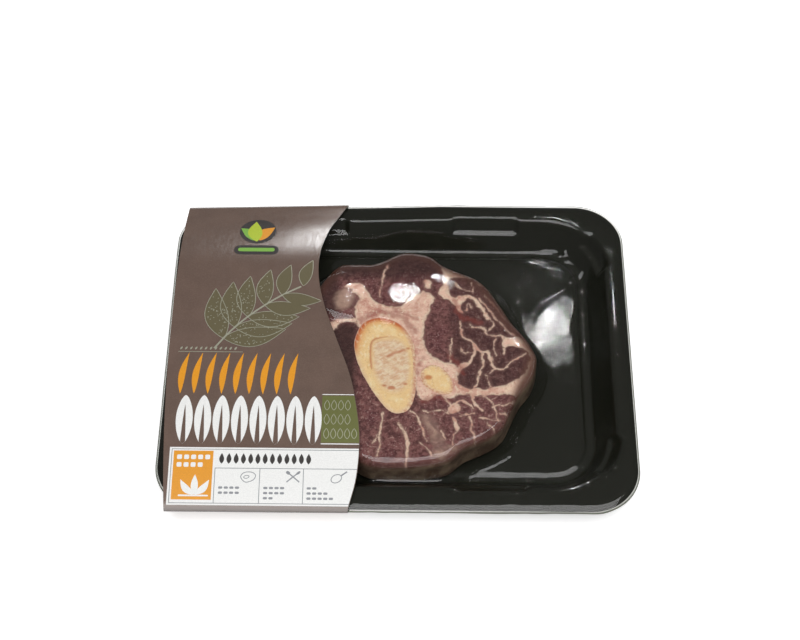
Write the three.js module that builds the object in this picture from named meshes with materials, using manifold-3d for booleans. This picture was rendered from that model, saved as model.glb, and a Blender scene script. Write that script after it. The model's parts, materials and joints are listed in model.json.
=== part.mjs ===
// A vacuum skin pack of one bone-in shank steak: a shallow black thermoformed tray, the steak with its
// leg bone, marrow core and small bone, a clear film drawn tightly over steak and tray, and a card band
// slipped round the left end. Millimetres, +Z up, +Y to the back, origin under the middle of the tray.
import * as THREE from "three";
import { mergeVertices } from "three/addons/utils/BufferGeometryUtils.js";
import Module from "manifold-3d";

const wasm = await Module();
wasm.setup();

// Gap kept between neighbouring pieces
const CLEAR = 0.3;

// Card band
const CARD = 0.5;
const BAND_FRONT = -93.9;
const BAND_BACK = 90.1;
const BAND_FOLD_DROP = 1.1;
const BAND_RISE = 7.0;
const BAND_FULLNESS = 2.4;
const BAND_BASE_FRONT = -76;
const BAND_BASE_BACK = 78;
const BAND_LEFT = -112;
const BAND_LEFT_BOW = 0.0004;
const BAND_LEFT_BOW_MIDDLE = 3;
// The die-cut right edge of the top panel as [y, x], from front to back
const BAND_CUT = [
  [-93, -23], [-78, -19.4], [-60, -18.1], [-46, -19.1], [-24, -23.2], [0, -31.2],
  [20, -37.6], [38, -40.8], [54, -40.3], [70, -36.2], [80, -31.6], [91, -26.5],
];

// Tray: half sizes and corner radii of its outlines, how far the flange is wider in front, and its levels
const TRAY_WALL = 0.8;
const TRAY_FOOT = CARD + CLEAR;
const TRAY_LEDGE = TRAY_FOOT + TRAY_WALL;
const TRAY_DEPTH = 14.3;
const TRAY_RIM = TRAY_LEDGE + TRAY_DEPTH;
const FLOOR_RAISE = 1.0;
const TRAY_FLOOR = TRAY_LEDGE + FLOOR_RAISE;
const FLANGE_OUTLINE = { x: 113.5, y: 90.1, corner: 23.3 };
const FLANGE_SHIFT = -1.1;
const MOUTH_OUTLINE = { x: 104.7, y: 79.4, corner: 31 };
const LEDGE_OUTLINE = { x: 95.2, y: 69.2, corner: 21 };
const PANEL_FOOT_OUTLINE = { x: 91, y: 65, corner: 17.5 };
const PANEL_OUTLINE = { x: 90.3, y: 64.3, corner: 16.8 };

// Denesting lugs: two on each long wall, and one beside each corner
const LUG = { from: 27.5, to: 60.5, blend: 2.6, out: 1.8, least: 60 };
const CORNER_LUG = { from: 3, to: 44, blend: 6, out: 2.6 };
const LUG_DEPTH = 5.9;
const LUG_SHELF_DEPTH = 7.4;

// Steak: its widest outline seen from above, and its levels
const STEAK_CENTRE = new THREE.Vector2(8, -8);
const STEAK_OUTLINE = [
  [67.6, -10], [64.8, -20.4], [58.2, -30.6], [54.1, -39.7], [50, -48.4], [43, -54.3], [31.4, -60.2],
  [23, -67.2], [8.6, -70.2], [-6.6, -70.3], [-17, -67.6], [-28, -59], [-39, -46], [-47, -30], [-50.5, -12],
  [-50.3, 6], [-46.8, 22], [-40.2, 35.8], [-31.4, 47.4], [-22, 48.8], [-12.2, 49.4], [-0.1, 56], [8, 56.2],
  [16, 53.5], [22.5, 47.8], [40.1, 38.7], [50.2, 24], [55.5, 13.4], [62.3, 3.9], [66.1, -3.4],
];
const STEAK_BASE = TRAY_FLOOR + CLEAR;
const STEAK_TOP = TRAY_RIM + 5.2;
// Soft swellings and hollows of the cut face: [x, y, height, reach]
const STEAK_RELIEF = [
  [-22, 33, 1.2, 15], [11, 40, 1.1, 13], [32, 22, 0.5, 12], [42, -12, 0.4, 14],
  [36, -42, -0.8, 14], [50, 12, -0.6, 12], [-34, -20, -0.5, 16], [-20, -66, -2.2, 24],
];

// Bones: outlines seen from above, which run through the steak's whole thickness
const BONE_OUTLINE = [
  [-21.8, 1.5], [-17.5, 10.6], [-8.5, 13.6], [1.5, 8.8], [7.3, -2.5], [8.3, -17], [8, -32],
  [4.2, -40.6], [-3.4, -41.4], [-11, -32.5], [-18.4, -18.5], [-21.8, -7],
];
const MARROW_OUTLINE = [
  [-13.4, -2.6], [-8.4, 1.2], [0.4, 0.6], [5.4, -6.5], [6, -20.5], [2, -29.6], [-6, -29.6], [-12.2, -20],
];
const SMALL_BONE_OUTLINE = [
  [10.6, -18.4], [15.9, -14], [21.4, -16.2], [25.8, -22.6], [25.6, -30], [19.2, -30.6], [12.2, -26],
];
const BONE_EASE = 0.7;
const MARROW_SUNK = 0.5;

// Film: its gap and gauge, how tightly it fills an inner corner, how far it follows the lugs, and its
// cut edge past the flange
const FILM_GAP = 0.45;
const FILM_GAUGE = 0.35;
const FILM_CORNER = 1.8;
const FILM_IN_LUGS = 0.4;
const FILM_OUTLINE = { x: 114.3, y: 91.2, corner: 24 };
const FILM_SHIFT = -1.4;

// Rays that every ring shares: the most degrees between two, and the turns they pass in a corner
const RAY_STEP = 5;
const CORNER_TURNS = [0, 6, 16, 28, 41, 47, 57, 68, 79, 90];

// How round and how dense each piece's colours are
const LOOKS = {
  tray: { color: 0x161613, roughness: 0.35, metalness: 0 },
  steak: { color: 0x5b2d30, roughness: 0.35, metalness: 0 },
  leg_bone: { color: 0xe0a765, roughness: 0.45, metalness: 0 },
  marrow_core: { color: 0xd8a888, roughness: 0.5, metalness: 0 },
  small_bone: { color: 0xe2a765, roughness: 0.45, metalness: 0 },
  film: { color: 0xdfe4e4, roughness: 0.05, metalness: 0, transparent: true, opacity: 0.25 },
  sleeve: { color: 0x66564f, roughness: 0.55, metalness: 0 },
};

const radians = THREE.MathUtils.degToRad;
const smoothstep = THREE.MathUtils.smoothstep;

// 1 between from and to, falling smoothly to 0 over the blend on each side
function plateau(value, { from, to, blend }) {
  return smoothstep(value, from - blend / 2, from + blend / 2)
    * (1 - smoothstep(value, to - blend / 2, to + blend / 2));
}

// Signed distance from a point to a rectangle with round corners, negative inside
function rectangleDistance(x, y, outline) {
  const dx = Math.abs(x) - (outline.x - outline.corner);
  const dy = Math.abs(y) - (outline.y - outline.corner);
  const outside = Math.hypot(Math.max(dx, 0), Math.max(dy, 0));
  return outside + Math.min(Math.max(dx, dy), 0) - outline.corner;
}

// How far the denesting lugs push the tray's wall outwards at a point
function lugBulge(x, y) {
  const side = Math.abs(y) > LUG.least ? LUG.out * plateau(Math.abs(x), LUG) : 0;
  const dx = Math.abs(x) - (MOUTH_OUTLINE.x - MOUTH_OUTLINE.corner);
  const dy = Math.abs(y) - (MOUTH_OUTLINE.y - MOUTH_OUTLINE.corner);
  if (dx <= 0 || dy <= 0) return side;
  const turn = THREE.MathUtils.radToDeg(Math.atan2(dy, dx));
  return side + CORNER_LUG.out * plateau(turn, CORNER_LUG);
}

// Distance along a ray from the steak's centre to a round-cornered outline, found by halving
function rayToRectangle(angle, outline, bulgeShare = 0, shiftY = 0) {
  let near = 0;
  let far = 200;
  for (let step = 0; step < 40; step += 1) {
    const middle = (near + far) / 2;
    const x = STEAK_CENTRE.x + middle * Math.cos(angle);
    const y = STEAK_CENTRE.y + middle * Math.sin(angle);
    const distance = rectangleDistance(x, y - shiftY, outline) - bulgeShare * lugBulge(x, y);
    if (distance < 0) near = middle;
    else far = middle;
  }
  return near;
}

// Points of a smooth closed curve through the given ones, anticlockwise seen from above
function closedCurve(points, divisions) {
  const through = points.map(([x, y]) => new THREE.Vector3(x, y, 0));
  const curve = new THREE.CatmullRomCurve3(through, true, "catmullrom", 0.5);
  const outline = curve.getPoints(divisions).slice(0, -1).map((p) => new THREE.Vector2(p.x, p.y));
  return THREE.ShapeUtils.isClockWise(outline) ? outline.reverse() : outline;
}

// Distance along a ray from a centre to a closed outline
function rayToOutline(angle, centre, outline) {
  const ray = new THREE.Vector2(Math.cos(angle), Math.sin(angle));
  let best = 0;
  outline.forEach((start, index) => {
    const end = outline[(index + 1) % outline.length];
    const edge = end.clone().sub(start);
    const toStart = start.clone().sub(centre);
    const across = ray.x * edge.y - ray.y * edge.x;
    if (Math.abs(across) < 1e-9) return;
    const along = (toStart.x * edge.y - toStart.y * edge.x) / across;
    const share = (toStart.x * ray.y - toStart.y * ray.x) / across;
    if (share >= 0 && share <= 1 && along > best) best = along;
  });
  return best;
}

// Ray angles: through every lug's ends and round every corner, and evenly in between
function rayAngles() {
  const passed = [];
  const pass = (x, y) => {
    const angle = Math.atan2(y - STEAK_CENTRE.y, x - STEAK_CENTRE.x);
    passed.push(angle < 0 ? angle + 2 * Math.PI : angle);
  };
  const middle = MOUTH_OUTLINE.x - MOUTH_OUTLINE.corner;
  const middleY = MOUTH_OUTLINE.y - MOUTH_OUTLINE.corner;
  [[1, 1], [-1, 1], [-1, -1], [1, -1]].forEach(([sideX, sideY]) => {
    CORNER_TURNS.map(radians).forEach((turn) => pass(
      sideX * (middle + MOUTH_OUTLINE.corner * Math.cos(turn)),
      sideY * (middleY + MOUTH_OUTLINE.corner * Math.sin(turn)),
    ));
    [LUG.from, LUG.to].forEach((end) => [-LUG.blend / 2, LUG.blend / 2].forEach((offset) => (
      pass(sideX * (end + offset), sideY * MOUTH_OUTLINE.y))));
  });
  passed.sort((first, second) => first - second);
  return passed.flatMap((angle, k) => {
    const next = k + 1 < passed.length ? passed[k + 1] : passed[0] + 2 * Math.PI;
    const parts = Math.ceil((next - angle) / radians(RAY_STEP));
    return Array.from({ length: parts }, (_, j) => angle + ((next - angle) * j) / parts);
  });
}

const ANGLES = rayAngles();
const STEAK_CURVE = closedCurve(STEAK_OUTLINE, 240);

// Height of the steak's cut face at a point
function steakTop(x, y) {
  return STEAK_RELIEF.reduce((height, [cx, cy, rise, reach]) => {
    const away = Math.hypot(x - cx, y - cy) / reach;
    return height + rise * Math.exp(-away * away);
  }, STEAK_TOP);
}

// How wide the steak's rounded shoulder is: widest at the back left, where the muscle bulges
function shoulderWidth(angle) {
  return 4.5 + 5.5 * Math.max(0, Math.cos(angle - radians(118))) ** 2;
}

// A point of the frame from an angle, a distance along its ray and a height
function rayPoint(angle, radius, z) {
  return new THREE.Vector3(
    STEAK_CENTRE.x + radius * Math.cos(angle),
    STEAK_CENTRE.y + radius * Math.sin(angle),
    z,
  );
}

// The steak's upper profile along one ray, from its widest line to the middle of its cut face
function steakProfile(angle) {
  const edge = rayToOutline(angle, STEAK_CENTRE, STEAK_CURVE);
  const shoulder = shoulderWidth(angle);
  const topAt = (radius) => {
    const p = rayPoint(angle, radius, 0);
    return steakTop(p.x, p.y);
  };
  const fall = 5.6;
  const crown = topAt(edge - shoulder);
  const rounded = [0.35, 0.72].map((turn) => {
    const inward = shoulder * (1 - Math.cos((turn * Math.PI) / 2));
    return [edge - 0.3 - inward, crown - fall * (1 - Math.sin((turn * Math.PI) / 2))];
  });
  const face = [0.97, 0.72, 0.46, 0.22].map((share) => {
    const radius = share * (edge - 0.3 - shoulder);
    return [radius, topAt(radius)];
  });
  return [[edge, STEAK_BASE + 8], [edge - 0.3, crown - fall], ...rounded, ...face];
}

// The tray's upper profile along one ray, from the flange's outer edge to the floor panel's edge,
// with its lugs at full depth or at a share of it
function trayProfile(angle, lugShare = 1) {
  const flange = rayToRectangle(angle, FLANGE_OUTLINE, 0, FLANGE_SHIFT);
  const mouth = rayToRectangle(angle, MOUTH_OUTLINE, lugShare);
  const plainMouth = rayToRectangle(angle, MOUTH_OUTLINE);
  const ledge = rayToRectangle(angle, LEDGE_OUTLINE);
  const wallAt = (depth) => THREE.MathUtils.lerp(plainMouth, ledge, depth / TRAY_DEPTH);
  return [
    [flange, TRAY_RIM],
    [mouth, TRAY_RIM],
    [wallAt(LUG_DEPTH) + 0.8 * (mouth - plainMouth), TRAY_RIM - LUG_DEPTH],
    [wallAt(LUG_SHELF_DEPTH), TRAY_RIM - LUG_SHELF_DEPTH],
    [ledge, TRAY_LEDGE],
    [rayToRectangle(angle, PANEL_FOOT_OUTLINE), TRAY_LEDGE],
    [rayToRectangle(angle, PANEL_OUTLINE), TRAY_FLOOR],
  ];
}

// Height of a profile at a radius, by straight lines between its points, listed from outside inwards
function profileHeight(profile, radius) {
  if (radius > profile[0][0]) return -Infinity;
  for (let k = 1; k < profile.length; k += 1) {
    const [outer, high] = profile[k - 1];
    const [inner, low] = profile[k];
    if (radius >= inner) {
      return outer - inner < 1e-9 ? Math.max(high, low)
        : low + ((high - low) * (radius - inner)) / (outer - inner);
    }
  }
  return profile[profile.length - 1][1];
}

// A profile along one ray moved off the surface by a distance, square to itself
function offsetProfile(profile, distance) {
  return profile.map(([radius, z], k) => {
    const [outerRadius, outerZ] = profile[Math.max(k - 1, 0)];
    const [innerRadius, innerZ] = profile[Math.min(k + 1, profile.length - 1)];
    const run = outerRadius - innerRadius;
    const rise = outerZ - innerZ;
    const length = Math.hypot(run, rise) || 1;
    return [radius - (distance * rise) / length, z + (distance * run) / length];
  });
}

// The film's lower profile along one ray: it lies on tray and steak, and spans each inner corner
// with a parabola, as a sheet under vacuum does
function filmProfile(angle) {
  const tray = trayProfile(angle, FILM_IN_LUGS);
  const steak = steakProfile(angle);
  const edge = steak[0][0];
  const step = 0.25;
  const count = Math.ceil(tray[0][0] / step) + 1;
  const solid = Array.from({ length: count }, (_, k) => (
    Math.max(profileHeight(tray, k * step), profileHeight(steak, k * step))));
  const reach = Math.ceil(12 / step);
  const sweep = (source, pick, sign) => source.map((_, k) => {
    let value = source[k];
    for (let j = Math.max(0, k - reach); j <= Math.min(count - 1, k + reach); j += 1) {
      value = pick(value, source[j] + (sign * ((j - k) * step) ** 2) / (2 * FILM_CORNER));
    }
    return value;
  });
  const raised = sweep(solid.map((z) => -z), Math.min, 1).map((z) => -z);
  const closed = sweep(raised, Math.min, 1);
  const heightAt = (radius) => {
    const k = Math.min(Math.floor(radius / step), count - 2);
    return THREE.MathUtils.lerp(closed[k], closed[k + 1], radius / step - k);
  };
  const margins = [4.5, 3.9, 3.3, 2.7, 2.1];
  const onTray = tray.slice(2).map(([radius, z], k) => {
    const kept = Math.max(radius, edge + margins[k]);
    return [kept, kept > radius ? heightAt(kept) : Math.max(z, heightAt(kept))];
  });
  const panel = onTray[onTray.length - 1][0];
  const side = edge + 1.2;
  const foot = side + Math.min(4, 0.8 * (panel - side));
  const spans = [foot, side, edge + 0.4].map((radius) => [radius, heightAt(radius)]);
  const outer = rayToRectangle(angle, FILM_OUTLINE, 0, FILM_SHIFT);
  return [[outer, TRAY_RIM], [tray[1][0], TRAY_RIM], ...onTray, ...spans, ...steak.slice(1)];
}

// One ring of points, one on each ray, from a profile's k-th point
function ring(profiles, k) {
  return profiles.map((profile, i) => rayPoint(ANGLES[i], profile[k][0], profile[k][1]));
}

// A closed skin over rings of equally many points, between a first and a last single point.
// Rings run anticlockwise seen from above, from the top middle outwards and back underneath.
function loft(topPole, rings, bottomPole) {
  const count = rings[0].length;
  const points = [topPole, ...rings.flat(), bottomPole];
  const index = [];
  const at = (r, i) => 1 + r * count + (i % count);
  for (let i = 0; i < count; i += 1) {
    index.push(0, at(0, i), at(0, i + 1));
    index.push(points.length - 1, at(rings.length - 1, i + 1), at(rings.length - 1, i));
  }
  for (let r = 0; r < rings.length - 1; r += 1) {
    for (let i = 0; i < count; i += 1) {
      index.push(at(r, i), at(r + 1, i), at(r + 1, i + 1));
      index.push(at(r, i), at(r + 1, i + 1), at(r, i + 1));
    }
  }
  const geometry = new THREE.BufferGeometry().setFromPoints(points);
  geometry.setIndex(index);
  return geometry;
}

// Rings of a list of profiles, inner ones first
function ringsInwardFirst(profiles) {
  return profiles[0].map((_, k) => ring(profiles, k)).reverse();
}

function trayGeometry() {
  const upper = ANGLES.map((angle) => trayProfile(angle));
  const lower = upper.map((profile) => {
    const under = offsetProfile(profile, -TRAY_WALL);
    under[0] = [profile[0][0], TRAY_RIM - TRAY_WALL];
    under[1][1] = TRAY_RIM - TRAY_WALL;
    [4, 5].forEach((k) => { under[k][1] = TRAY_FOOT; });
    under[6][1] = TRAY_FLOOR - TRAY_WALL;
    return under;
  });
  const rings = [...ringsInwardFirst(upper), ...ringsInwardFirst(lower).reverse()];
  return loft(rayPoint(0, 0, TRAY_FLOOR), rings, rayPoint(0, 0, TRAY_FLOOR - TRAY_WALL));
}

function steakGeometry() {
  const upper = ANGLES.map((angle) => steakProfile(angle));
  const under = ANGLES.map((angle, i) => {
    const edge = upper[i][0][0];
    return [[edge - 0.7, STEAK_BASE + 2.6], [edge - 3.4, STEAK_BASE], [edge * 0.5, STEAK_BASE]];
  });
  const rings = [...ringsInwardFirst(upper), ...under[0].map((_, k) => ring(under, k))];
  const top = steakTop(STEAK_CENTRE.x, STEAK_CENTRE.y);
  return loft(rayPoint(0, 0, top), rings, rayPoint(0, 0, STEAK_BASE));
}

function filmGeometry() {
  const surface = ANGLES.map((angle) => filmProfile(angle));
  const lower = surface.map((profile) => offsetProfile(profile, FILM_GAP));
  const upper = surface.map((profile) => offsetProfile(profile, FILM_GAP + FILM_GAUGE));
  const rings = [...ringsInwardFirst(upper), ...ringsInwardFirst(lower).reverse()];
  const top = steakTop(STEAK_CENTRE.x, STEAK_CENTRE.y) + FILM_GAP;
  return loft(rayPoint(0, 0, top + FILM_GAUGE), rings, rayPoint(0, 0, top));
}

// A closed outline moved outwards by a distance
function grownOutline(outline, distance) {
  return outline.map((point, k) => {
    const before = outline[(k + outline.length - 1) % outline.length];
    const after = outline[(k + 1) % outline.length];
    const along = after.clone().sub(before).normalize();
    return new THREE.Vector2(point.x + along.y * distance, point.y - along.x * distance);
  });
}

// A bone standing on the steak's base: its top lies a given height above the cut face, which it
// follows, and is eased round at the edge
function boneGeometry(outline, divisions, margin, above, base, ease) {
  const curve = closedCurve(outline, divisions);
  const middle = curve.reduce((sum, p) => sum.add(p), new THREE.Vector2()).divideScalar(curve.length);
  const level = (x, y, drop) => steakTop(x, y) + above - drop;
  const topRing = (distance, drop) => grownOutline(curve, distance)
    .map((p) => new THREE.Vector3(p.x, p.y, level(p.x, p.y, drop)));
  const foot = grownOutline(curve, margin).map((p) => new THREE.Vector3(p.x, p.y, base));
  const rings = ease > 0
    ? [topRing(margin - 2 * ease, 0), topRing(margin - ease * 0.4, ease * 0.35), topRing(margin, ease * 1.2)]
    : [topRing(margin, 0)];
  return loft(
    new THREE.Vector3(middle.x, middle.y, level(middle.x, middle.y, 0)),
    [...rings, foot],
    new THREE.Vector3(middle.x, middle.y, base),
  );
}

// manifold-3d solid from a geometry, and back
function toSolid(geometry) {
  const bare = geometry.clone();
  bare.deleteAttribute("normal");
  bare.deleteAttribute("uv");
  const merged = mergeVertices(bare, 1e-5);
  return new wasm.Manifold(new wasm.Mesh({
    numProp: 3,
    vertProperties: new Float32Array(merged.attributes.position.array),
    triVerts: new Uint32Array(merged.index.array),
  }));
}

function toGeometry(solid) {
  const mesh = solid.getMesh();
  const geometry = new THREE.BufferGeometry();
  geometry.setAttribute("position", new THREE.BufferAttribute(new Float32Array(mesh.vertProperties), 3));
  geometry.setIndex(Array.from(mesh.triVerts));
  return geometry;
}

// x of the band's right edge at a y, by a Catmull-Rom curve through the die-cut points
function bandCut(y) {
  const last = BAND_CUT.length - 1;
  const held = THREE.MathUtils.clamp(y, BAND_CUT[0][0], BAND_CUT[last][0]);
  let k = 0;
  while (k < last - 1 && held > BAND_CUT[k + 1][0]) k += 1;
  const [before, start, end, after] = [k - 1, k, k + 1, k + 2]
    .map((j) => BAND_CUT[THREE.MathUtils.clamp(j, 0, last)]);
  const span = end[0] - start[0];
  const t = (held - start[0]) / span;
  const slopeStart = ((end[1] - before[1]) / (end[0] - before[0])) * span;
  const slopeEnd = ((after[1] - start[1]) / (after[0] - start[0])) * span;
  return (2 * t ** 3 - 3 * t ** 2 + 1) * start[1] + (t ** 3 - 2 * t ** 2 + t) * slopeStart
    + (3 * t ** 2 - 2 * t ** 3) * end[1] + (t ** 3 - t ** 2) * slopeEnd;
}

// x of the band's left edge at a y, a shallow arc
function bandLeft(y) {
  return BAND_LEFT + BAND_LEFT_BOW * (y - BAND_LEFT_BOW_MIDDLE) ** 2;
}

// The band's section seen along X, as a closed loop of [y, z] on the card's inner face
function bandSection() {
  const fold = TRAY_RIM + FILM_GAP + FILM_GAUGE + CLEAR;
  const middle = (BAND_FRONT + BAND_BACK) / 2;
  const half = (BAND_BACK - BAND_FRONT) / 2;
  const panels = 36;
  const arch = Array.from({ length: panels + 1 }, (_, k) => {
    const y = THREE.MathUtils.lerp(BAND_BACK, BAND_FRONT, k / panels);
    const share = Math.abs(y - middle) / half;
    return [y, fold + BAND_RISE * (1 - share ** BAND_FULLNESS)];
  });
  return [
    ...arch,
    [BAND_FRONT, fold - BAND_FOLD_DROP],
    [BAND_BASE_FRONT, CARD],
    [BAND_BASE_BACK, CARD],
    [BAND_BACK, fold - BAND_FOLD_DROP],
  ];
}

// A closed loop moved outwards by a distance, with its corners mitred
function outwardLoop(loop, distance) {
  return loop.map(([y, z], k) => {
    const [beforeY, beforeZ] = loop[(k + loop.length - 1) % loop.length];
    const [afterY, afterZ] = loop[(k + 1) % loop.length];
    const into = new THREE.Vector2(y - beforeY, z - beforeZ).normalize();
    const out = new THREE.Vector2(afterY - y, afterZ - z).normalize();
    const normal = new THREE.Vector2(into.y + out.y, -into.x - out.x).normalize();
    const square = new THREE.Vector2(into.y, -into.x);
    const reach = distance / normal.dot(square);
    return [y + normal.x * reach, z + normal.y * reach];
  });
}

function sleeveGeometry() {
  const inner = bandSection();
  const outer = outwardLoop(inner, CARD);
  const row = (loop, edge) => loop.map(([y, z], k) => {
    const [innerY] = inner[k];
    return new THREE.Vector3(edge(innerY), y, z);
  });
  const rings = [row(outer, bandLeft), row(outer, bandCut), row(inner, bandCut), row(inner, bandLeft)];
  const count = inner.length;
  const at = (r, i) => (r % 4) * count + (i % count);
  const index = [];
  for (let r = 0; r < 4; r += 1) {
    for (let i = 0; i < count; i += 1) {
      index.push(at(r, i), at(r, i + 1), at(r + 1, i + 1));
      index.push(at(r, i), at(r + 1, i + 1), at(r + 1, i));
    }
  }
  const geometry = new THREE.BufferGeometry().setFromPoints(rings.flat());
  geometry.setIndex(index);
  return geometry;
}

function namedMesh(name, geometry) {
  const mesh = new THREE.Mesh(geometry, new THREE.MeshStandardMaterial(LOOKS[name]));
  mesh.name = name;
  return mesh;
}

// The steak with the sockets of its bones, and the bones in them
function steakPieces() {
  const socket = (outline, divisions) => toSolid(
    boneGeometry(outline, divisions, CLEAR + 0.02, 10, STEAK_BASE - 1, 0));
  const bone = (outline, divisions, above, ease) => (
    boneGeometry(outline, divisions, 0, above, STEAK_BASE, ease));
  const steak = toSolid(steakGeometry())
    .subtract(socket(BONE_OUTLINE, 36))
    .subtract(socket(SMALL_BONE_OUTLINE, 22));
  const legBone = toSolid(bone(BONE_OUTLINE, 36, 0, BONE_EASE)).subtract(socket(MARROW_OUTLINE, 26));
  return [
    namedMesh("steak", toGeometry(steak)),
    namedMesh("leg_bone", toGeometry(legBone)),
    namedMesh("marrow_core", bone(MARROW_OUTLINE, 26, -MARROW_SUNK, BONE_EASE / 2)),
    namedMesh("small_bone", bone(SMALL_BONE_OUTLINE, 22, 0, BONE_EASE)),
  ];
}

const pack = new THREE.Group();
pack.position.y = -(BAND_FRONT + BAND_BACK) / 2;
pack.add(
  namedMesh("tray", trayGeometry()),
  ...steakPieces(),
  namedMesh("film", filmGeometry()),
  namedMesh("sleeve", sleeveGeometry()),
);

export default pack;
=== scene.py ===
"""A vacuum skin pack of one bone-in shank steak in a black tray, with a printed card band round one end.

Laid out as an add-on: sizes and colours are properties, each piece has an operator, and main() makes all.
Shapes are worked out in millimetres in the tray's own frame: x to the right, y to the back, z up, with
x = y = 0 in the middle of the tray and z = 0 on the surface that the pack lies on.
"""
import json
import math
from functools import partial

import bpy
import numpy as np
from bpy.props import FloatProperty, FloatVectorProperty, IntProperty, PointerProperty, StringProperty
from mathutils import Matrix, Vector

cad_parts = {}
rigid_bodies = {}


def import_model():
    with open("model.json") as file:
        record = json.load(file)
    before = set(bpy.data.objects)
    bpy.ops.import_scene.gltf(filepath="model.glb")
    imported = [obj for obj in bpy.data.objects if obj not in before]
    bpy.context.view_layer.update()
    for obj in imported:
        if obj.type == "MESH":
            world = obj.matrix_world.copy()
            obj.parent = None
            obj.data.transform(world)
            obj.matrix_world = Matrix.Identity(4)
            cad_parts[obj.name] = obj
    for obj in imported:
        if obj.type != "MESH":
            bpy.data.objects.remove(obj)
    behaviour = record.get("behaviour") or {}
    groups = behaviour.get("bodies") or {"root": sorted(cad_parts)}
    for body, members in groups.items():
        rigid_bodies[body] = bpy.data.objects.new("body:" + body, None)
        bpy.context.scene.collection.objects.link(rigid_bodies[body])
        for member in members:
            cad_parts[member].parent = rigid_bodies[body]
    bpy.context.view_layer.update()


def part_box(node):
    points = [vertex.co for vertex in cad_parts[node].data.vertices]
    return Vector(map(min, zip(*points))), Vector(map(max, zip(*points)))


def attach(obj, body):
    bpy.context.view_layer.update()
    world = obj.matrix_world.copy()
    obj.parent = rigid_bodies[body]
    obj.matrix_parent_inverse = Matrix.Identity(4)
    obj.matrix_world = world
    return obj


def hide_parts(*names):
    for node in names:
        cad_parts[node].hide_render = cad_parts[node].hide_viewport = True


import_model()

bl_info = {
    "name": "Skin pack with steak",
    "version": (1, 0, 0),
    "blender": (4, 5, 0),
    "location": "3D View > Sidebar > Skin Pack",
    "description": "Makes the tray, steak, bones, film and printed card band of a skin pack",
    "category": "Object",
}

MM = 0.001
TRAY_LOW, TRAY_HIGH = (np.array(corner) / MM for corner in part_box("tray"))
FLANGE_SHIFT = -1.1
SHIFT_Y = (TRAY_LOW[1] + TRAY_HIGH[1]) / 2 - FLANGE_SHIFT

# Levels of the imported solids, in mm
FOOT = TRAY_LOW[2]
RIM = TRAY_HIGH[2]
TRAY_WALL = 0.8
LEDGE = FOOT + TRAY_WALL
DEPTH = RIM - LEDGE
FLOOR = LEDGE + 1.0
STEAK_BASE = FLOOR + 0.3
STEAK_TOP = RIM + 5.2

# Outlines of the tray as half length, half width and corner radius, in mm
FLANGE_OUTLINE = (113.5, 90.1, 23.3)
MOUTH_OUTLINE = (104.7, 79.4, 31.0)
LEDGE_OUTLINE = (95.2, 69.2, 21.0)
PANEL_OUTLINE = (90.6, 64.6, 17.2)
FILM_OUTLINE = (114.24, 91.2, 24.0)
FILM_SHIFT = -1.4

# Denesting lugs: where they start and end, how softly, and how far they push the wall out
LUG_FROM, LUG_TO, LUG_BLEND, LUG_OUT = 27.5, 60.5, 2.6, 1.8
CORNER_LUG_FROM, CORNER_LUG_TO, CORNER_LUG_BLEND, CORNER_LUG_OUT = 3.0, 44.0, 6.0, 2.6
LUG_SHELF = 6.4
# Past this y a place is on a long wall
LONG_WALL = 60
# Where the flange's lip starts and ends to bend down, from its outline, and how far it bends
LIP_FROM, LIP_TO, LIP_DROP = -2.4, 0.4, 0.9
# How widely creases are rounded: lug to its shelf, lug to wall, wall to rim, and panel to ledge
SHELF_ROUND, LUG_ROUND, RIM_ROUND, PANEL_ROUND = 1.0, 0.6, 1.3, 1.6
PANEL_SOFT = 0.6
# The flange's cut edge: how far its rings stand out, at which shares of the wall, and how far in it starts
EDGE_BULGE, EDGE_SHARES, EDGE_IN = (0.16, 0.22, 0.16), (0.15, 0.5, 0.85), 0.3

# The middle of the fan of rays that the steak, tray and film share
CENTRE = np.array([8.0, -8.0])
# A length past every edge, and how often it is halved to find an edge
RAY_LENGTH, RAY_HALVINGS = 200.0, 40
# Cells along each side of the table behind lattice_noise, after which it repeats
LATTICE = 128
# A distance that is larger than any other
FAR_OFF = 1e9
# Steps along a ray before its rings are spread, and the slope and bend past which rings crowd no more
TRAY_STEPS, FILM_STEPS = 520, 460
STEEPEST, SHARPEST = 3, 1.5

STEAK_OUTLINE = [
    (67.6, -10), (64.8, -20.4), (58.2, -30.6), (54.1, -39.7), (50, -48.4), (43, -54.3), (31.4, -60.2),
    (23, -67.2), (8.6, -70.2), (-6.6, -70.3), (-17, -67.6), (-28, -59), (-39, -46), (-47, -30),
    (-50.5, -12), (-50.3, 6), (-46.8, 22), (-40.2, 35.8), (-31.4, 47.4), (-22, 48.8), (-12.2, 49.4),
    (-0.1, 56), (8, 56.2), (16, 53.5), (22.5, 47.8), (40.1, 38.7), (50.2, 24), (55.5, 13.4),
    (62.3, 3.9), (66.1, -3.4),
]
# Soft swellings and hollows of the cut face: x, y, height, reach
STEAK_RELIEF = [
    (-22, 33, 1.2, 15), (11, 40, 1.1, 13), (60, 0, 0.5, 22), (42, -12, 0.2, 14),
    (36, -42, -0.8, 14), (-34, -20, -0.5, 16), (-20, -66, -2.2, 24),
]
# Width of the steak's rounded shoulder, how much it wavers, how much wider it is at the back left and
# towards which turn, and how far it falls
SHOULDER, SHOULDER_WAVE, SHOULDER_BACK, SHOULDER_BACK_TURN, SHOULDER_FALL = 4.5, 1.2, 5.5, 118, 5.6
# The steak's rounded foot: how high it starts and how far it draws in
FOOT_RISE, FOOT_IN = 3, 3.4
# Rings over the shoulder, those of them with the face's relief, and rings down the side and round the
# foot, then those under the steak as shares of its width
SHOULDER_RINGS, RELIEF_RINGS, SIDE_RINGS, FOOT_RINGS, UNDER_RINGS = 14, 10, 4, 7, (0.8, 0.5, 0.2)
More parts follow.
